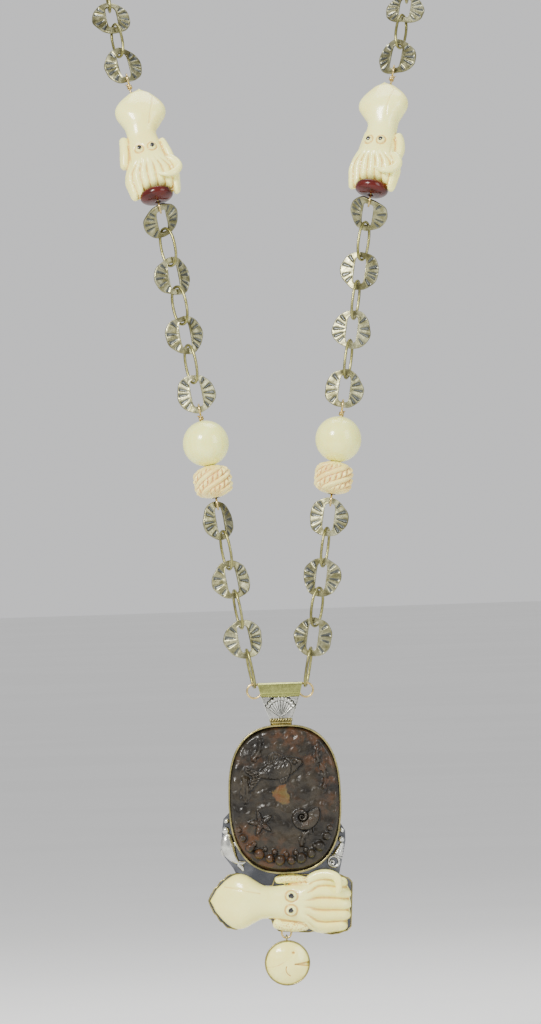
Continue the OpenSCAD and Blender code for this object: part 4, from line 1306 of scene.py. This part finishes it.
def shell_height(x, z):
    """A scallop that fans upward from its hinge, ten ribs and one growth line."""
    hinge_z = -13.3
    fan, ribs, size = 54, 10, 8.5
    reach = math.hypot(x, z - hinge_z)
    turn = math.degrees(math.atan2(x, z - hinge_z))
    if abs(turn) > fan or reach < 0.3:
        return 0.0
    scallop = abs(math.sin(math.pi * (turn + fan) / (2 * fan) * ribs))
    edge = size * (0.95 + 0.05 * scallop) * (0.84 + 0.16 * math.cos(math.radians(turn * 1.5)))
    if reach > edge:
        return -0.25 * smoothstep(1 - (reach - edge) / 0.5)
    high = 0.45 + 0.75 * (0.5 + 0.5 * scallop) * smoothstep((edge - reach) / 0.6)
    high -= 0.4 * smoothstep(1 - abs(reach - edge * 0.8) / 0.3)
    return high * smoothstep((fan - abs(turn)) / 4)


# Section of the bail's tube: share of the half width, share of the radius
TUBE_SECTION = [(-1, 0.9), (-1, 1), (-0.8, 1), (-0.4, 1), (0, 1), (0.4, 1), (0.8, 1), (1, 1), (1, 0.9),
                (1, 0.65), (0, 0.65), (-1, 0.65)]


def bail_fold():
    """The tube at the bail's top and the sheet folded down in front of it, with a rib and a crease."""
    tube_r, tube_z = 2.2, -1.8
    sheet_z, sheet_half = -2.45, 2.75
    bm = bmesh.new()

    def tube(turn, roll):
        turn *= 2 * math.pi
        share, size = TUBE_SECTION[round(roll * len(TUBE_SECTION)) % len(TUBE_SECTION)]
        half = bail_half(tube_z + tube_r * math.sin(turn))
        reach = tube_r * size
        return PENDANT @ Vector((share * half, reach * math.cos(turn), tube_z + reach * math.sin(turn)))

    wrapped(bm, 64, len(TUBE_SECTION), tube)

    def sheet_front(across, up):
        z = sheet_z + up * sheet_half
        y = -2.25 - 0.28 * smoothstep(1 - abs(z + 4.6) / 0.45) + 0.2 * smoothstep(1 - abs(z + 3.9) / 0.25)
        y += 0.9 * smoothstep((z + 0.5) / 0.8) ** 2 + 0.25 * smoothstep((-z - 4.9) / 0.3)
        return PENDANT @ Vector((across * (bail_half(z) + 0.05), y, z))

    sheet = bmesh.new()
    panel(sheet, 60, 60, sheet_front)
    backed(sheet, HINGE.y - 1.2)
    add_all(bm, sheet)
    piece("bail_fold", bm, OLIVE, "pendant")


def bail_leaf():
    """The leaf below the fold, with the scallop, raised sides and two cross ribs at its top."""
    foot_z, height = -14.3, 10.9
    bm = bmesh.new()

    def leaf_front(across, up):
        z = foot_z + (up + 1) / 2 * height
        x = across * bail_half(z)
        y = -1.0 - shell_height(x, z) * 0.95
        y -= 0.35 * smoothstep(1 - abs(z + 4.4) / 0.4) + 0.25 * smoothstep(1 - abs(z + 5.3) / 0.25)
        y -= 0.35 * smoothstep((abs(across) - 0.93) / 0.04)
        return PENDANT @ Vector((x, y, z))

    panel(bm, 130, 110, leaf_front)
    mark_grooves(bm, 6, 0.14)
    backed(bm, HINGE.y + 1.0)
    piece("bail_leaf", bm, SILVER, "pendant")


def bail_foot():
    """Two twisted wires along the leaf's foot, and the knuckle behind them."""
    wire_y, wire_z, twist_r, twist = -1.35, -14.2, 0.42, 3.2
    knuckle_x, knuckle_z, knuckle_r = 4.3, -15.1, 1.5
    bm = bmesh.new()
    for s in (1, -1):
        turns = [(x / 10, x / twist + s * math.pi / 2) for x in range(-44, 45, 2)]
        path = [(x, wire_y + twist_r * math.sin(a), wire_z + twist_r * math.cos(a)) for x, a in turns]
        limb(bm, path, [0.36] * 3, PENDANT, rings=100, sides=10)
    knuckle = [(x, 0, knuckle_z) for x in (-knuckle_x, 0, knuckle_x)]
    limb(bm, knuckle, [knuckle_r] * 3, PENDANT, rings=30, sides=24)
    piece("bail_foot_wire", bm, RIM_GOLD, "pendant")


def side_rings():
    """The two rings of the hinge line, and the one that the drop hangs from."""
    bm = bmesh.new()
    ring_r = (RING_D - RING_WIRE) / 2
    upright = turned("X", 90)
    for s in (1, -1):
        ring(bm, ring_r, RING_WIRE, PENDANT @ Matrix.Translation((s * HOOK_X, 0, -ring_r)) @ upright)
    lower = Matrix.Translation((DROP_X, DROP_Y, LOWER_RING_Z))
    ring(bm, LOWER_RING_R, LOWER_RING_WIRE, PENDANT @ lower @ upright)
    piece("side_rings", bm, GOLD, "pendant")


# Solder grains: place across and up, and diameter
GRAINS = [(-22.4, -53, 2.1), (-22.8, -56.6, 3), (22.2, -57.9, 1.9), (21.9, -61.4, 2.5)]


def leaping_fish(bm):
    """A fish curved along the left edge, its tail below."""
    y = PLATE_Y - 0.8
    spine = [(-21.6, y, -57.6), (-22.3, y, -60.4), (-22.0, y, -63.6), (-20.6, y, -66.8), (-18.4, y, -69.6)]
    limb(bm, spine, [1.0, 2.5, 2.8, 2.0, 0.7], deep=0.75, rings=60, sides=30)
    tail_up = [(-18.9, y, -69.2), (-17.2, y, -69.4), (-15.5, y, -68.9)]
    tail_down = [(-18.5, y, -69.6), (-17.2, y, -71), (-16.5, y, -72.6)]
    back_fin = [(-23.4, y - 0.3, -62.8), (-24.4, y, -64.6), (-24.2, y, -66.6)]
    side_fin = [(-19.6, y - 0.6, -61.0), (-18.6, y - 0.4, -62.4), (-18.0, y - 0.2, -64.2)]
    for fin in (tail_up, tail_down, back_fin, side_fin):
        limb(bm, fin, [0.95, 0.85, 0.3], deep=0.55)
    eye = Matrix.Translation((-22.6, y - 1.7, -59.4))
    bmesh.ops.create_icosphere(bm, subdivisions=3, radius=0.45, matrix=eye)


def pointed_shell(bm):
    """A spire in whorls down the right edge, with its round mouth below."""
    y = PLATE_Y - 1.1
    tip, mouth = Vector((22.4, y, -62.6)), Vector((19.9, y, -68.2))
    limb(bm, [tip, (tip + mouth) / 2, mouth], [0.6, 1.4, 2.2], rings=30, sides=24)
    lean = math.degrees(math.atan2(tip.x - mouth.x, tip.z - mouth.z))
    whorls = 6
    for k in range(whorls):
        share = (k + 0.6) / whorls
        place = Matrix.Translation(tip.lerp(mouth, share)) @ turned("Y", lean)
        ring(bm, 0.55 + 1.7 * share, 0.55, place, 40, 10)
    lip = Matrix.Translation((18.8, y - 0.3, -69.9)) @ turned("X", 90)
    ring(bm, 2.05, 1.05, lip, 48, 14)
    ring(bm, 0.75, 0.8, lip @ Matrix.Translation((-0.75, -0.4, 0.4)), 36, 12)


def sea_life():
    """Solder grains, the leaping fish at the left and the pointed shell at the right."""
    bm = bmesh.new()
    for x, z, d in GRAINS:
        bmesh.ops.create_icosphere(bm, subdivisions=4, radius=d / 2,
                                   matrix=Matrix.Translation((x, PLATE_Y - 0.35 * d, z)))
    leaping_fish(bm)
    pointed_shell(bm)
    bmesh.ops.transform(bm, matrix=PENDANT, verts=bm.verts)
    bmesh.ops.recalc_face_normals(bm, faces=bm.faces)
    mark_grooves(bm, 8, 0.2)
    piece("sea_life", bm, SILVER, "pendant")


def pendant_squid():
    """The long squid that lies across the pendant's foot, its arms stippled."""
    wide = LONG_SQUID_HALF / SQUID_HALF
    stretch = Matrix.Diagonal((wide, wide, LONG_SQUID_LEN / SQUID_LEN, 1))
    place = AT_SQUID @ Matrix.Translation((0, PLATE_Y - FIT - 0.3, 0))
    eye_r = 2.05
    leaf = [(8.0, -0.9, 2.2), (8.6, -1.0, -1.6), (8.7, -1.0, -5.0), (7.9, -1.4, -9.4)]
    under = [(-7.2, -0.9, 2.4), (-8.1, -1.0, -1.5), (-8.3, -1.0, -5.6), (-7.8, -1.0, -9.8)]
    bm = carved_squid(LONG_FEET, LONG_CURL, under, leaf, eye_r, 0.35)
    # A shallow ring further out, whose tan tint in the bone's finish is painted shade.
    engrave(bm, eye_rings(eye_r + 0.85), 0.35, 0.1)
    mark_grooves(bm, 26, 0.5)
    layer = bm.verts.layers.float["groove"]
    for vert in bm.verts:
        at = vert.co
        if abs(at.x) > 7.2 and -9 < at.z < 2.6 and at.y < -1.2:
            stipple = noise.noise(at * 2.3)
            # Darker marks in the stipple's pits: painted shade in the bone's finish.
            vert[layer] += 0.75 * smoothstep(stipple * 2.2)
            at.y += 0.16 * stipple
    bmesh.ops.transform(bm, matrix=stretch, verts=bm.verts)
    flat_back = 0.3
    for vert in bm.verts:
        vert.co.y = min(vert.co.y, flat_back)
    bmesh.ops.transform(bm, matrix=place, verts=bm.verts)
    piece("long_squid_carving", bm, BONE, "pendant", ["pendant_squid"])
    black = pupils(place @ stretch, 0.95, 5, eye_r)
    piece("long_squid_pupils", black, INK, "pendant", ["pendant_squid_eyes"])


def drop_cup():
    """A thin round cup and the eye that it hangs by."""
    place = PENDANT @ Matrix.Translation((DROP_X, 0, DROP_DROP)) @ turned("X", 90)
    bm = bmesh.new()
    floor_z = -DROP_Y
    front, back = floor_z + 2.0, floor_z - 0.8
    wall_r = DROP_R - 0.42
    profile = [(0.01, back), (DROP_R - 0.2, back), (DROP_R, back + 0.2), (DROP_R, front - 0.15),
               (DROP_R - 0.15, front), (DROP_R - 0.35, front), (wall_r, front - 0.15), (wall_r, floor_z),
               (0.01, floor_z)]
    lathe(bm, profile, 110, place)
    eye = Matrix.Translation((DROP_X, DROP_Y, DROP_DROP + DROP_R + 0.6))
    ring(bm, 1.25, 0.7, PENDANT @ eye @ turned("Y", 90))
    piece("drop_cup", bm, RIM_GOLD, "pendant", ["drop_setting"])


def drop_face():
    """The domed bone in the cup, with an eye, a wedge at the side and two soft lines."""
    bm = bmesh.new()
    bone_r = DROP_R - 0.4 - FIT

    def shape(across, up):
        big = max(abs(across), abs(up))
        reach = math.hypot(across, up)
        scale = big / reach if reach > 0 else 1
        x, z = across * scale * bone_r, up * scale * bone_r
        y = -3.9 + 2.6 * (math.hypot(x, z) / bone_r) ** 2.4
        eye = math.hypot(x - 2.4, z - 3.9)
        y += 0.8 * smoothstep(1 - eye / 1.0)
        wedge = 0.25 + (x - 3) * 0.16 + 0.2
        if x > 2.8 and abs(z + 0.6) < wedge:
            y += 0.9 * smoothstep((wedge - abs(z + 0.6)) / 0.5)
        curl_x, curl_z = x - 2.0, z + 2.6
        if 150 < math.degrees(math.atan2(curl_z, curl_x)) % 360 < 250:
            y += 0.4 * smoothstep(1 - abs(math.hypot(curl_x, curl_z) - 2.6) / 0.4)
        arc = math.hypot(x + 7, z - 8)
        y += 0.12 * smoothstep(1 - abs(arc - 9.5) / 0.5) * smoothstep((3 - z) / 4)
        y += 0.12 * noise.noise(Vector((x * 0.5, 2, z * 0.5)))
        return PENDANT @ Vector((DROP_X + x, DROP_Y - FIT + y, DROP_DROP + z))

    panel(bm, 110, 110, shape)
    mark_grooves(bm, 16, 0.2)
    backed(bm, HINGE.y + DROP_Y - FIT)
    piece("drop_carving", bm, BONE, "pendant", ["drop_bone"])


for each_side in ("left", "right"):
    strand_links(each_side)
    bead_groups(each_side)
    back_chain(each_side)
clasp()
stone()
setting_plate()
setting_rims()
bail_fold()
bail_leaf()
bail_foot()
side_rings()
sea_life()
pendant_squid()
drop_cup()
drop_face()


# Stage: a plain pale floor, soft light and the camera, in metres
FLOOR_Z = -0.455
LIT = (0, -0.05, -0.22)
CAMERA_TARGET = Vector((-0.0015, -0.066, -0.2447))


def floor():
    bm = bmesh.new()
    bmesh.ops.create_grid(bm, x_segments=8, y_segments=8, size=20,
                          matrix=Matrix.Translation((0, 0, FLOOR_Z)))
    mesh = bpy.data.meshes.new("floor")
    bm.to_mesh(mesh)
    bm.free()
    mesh.materials.append(pale_floor())
    made = bpy.data.objects.new("floor", mesh)
    bpy.context.scene.collection.objects.link(made)


def soft_light(name, place, size, power, colour=(1, 1, 1)):
    """A broad lamp turned to the middle of the necklace."""
    lamp = bpy.data.lights.new(name, "AREA")
    lamp.shape = "RECTANGLE"
    lamp.size, lamp.size_y = size
    lamp.energy = power
    lamp.color = colour
    made = bpy.data.objects.new(name, lamp)
    bpy.context.scene.collection.objects.link(made)
    made.location = place
    made.rotation_euler = (Vector(LIT) - Vector(place)).to_track_quat("-Z", "Y").to_euler()


def camera():
    """Far off with a long lens, level with the middle of the necklace, rolled a little as the photo is."""
    lens, sensor = 400.0, 36.0
    seen_height = 0.3994
    roll = math.radians(1.83)
    distance = seen_height * lens / sensor
    data = bpy.data.cameras.new("camera")
    data.lens = lens
    data.sensor_fit = "VERTICAL"
    data.sensor_height = sensor
    data.clip_start = 0.05
    made = bpy.data.objects.new("camera", data)
    bpy.context.scene.collection.objects.link(made)
    right = Vector((math.cos(roll), 0, -math.sin(roll)))
    up = Vector((math.sin(roll), 0, math.cos(roll)))
    turn = Matrix((right, up, FORWARD)).transposed().to_4x4()
    made.matrix_world = Matrix.Translation(CAMERA_TARGET + FORWARD * distance) @ turn
    bpy.context.scene.camera = made


def studio():
    """Even pale light from all round."""
    world = bpy.data.worlds.new("studio")
    world.use_nodes = True
    background = world.node_tree.nodes["Background"]
    background.inputs["Color"].default_value = (0.80, 0.80, 0.81, 1)
    background.inputs["Strength"].default_value = 0.95
    bpy.context.scene.world = world


floor()
soft_light("key", (-0.6, -1.0, 0.45), (0.35, 0.35), 26, (1.0, 0.98, 0.93))
soft_light("fill", (0.9, -0.9, 0.2), (0.5, 0.9), 8, (0.97, 0.99, 1.0))
soft_light("top", (0.1, 0.3, 0.8), (0.8, 0.6), 8)
studio()
camera()
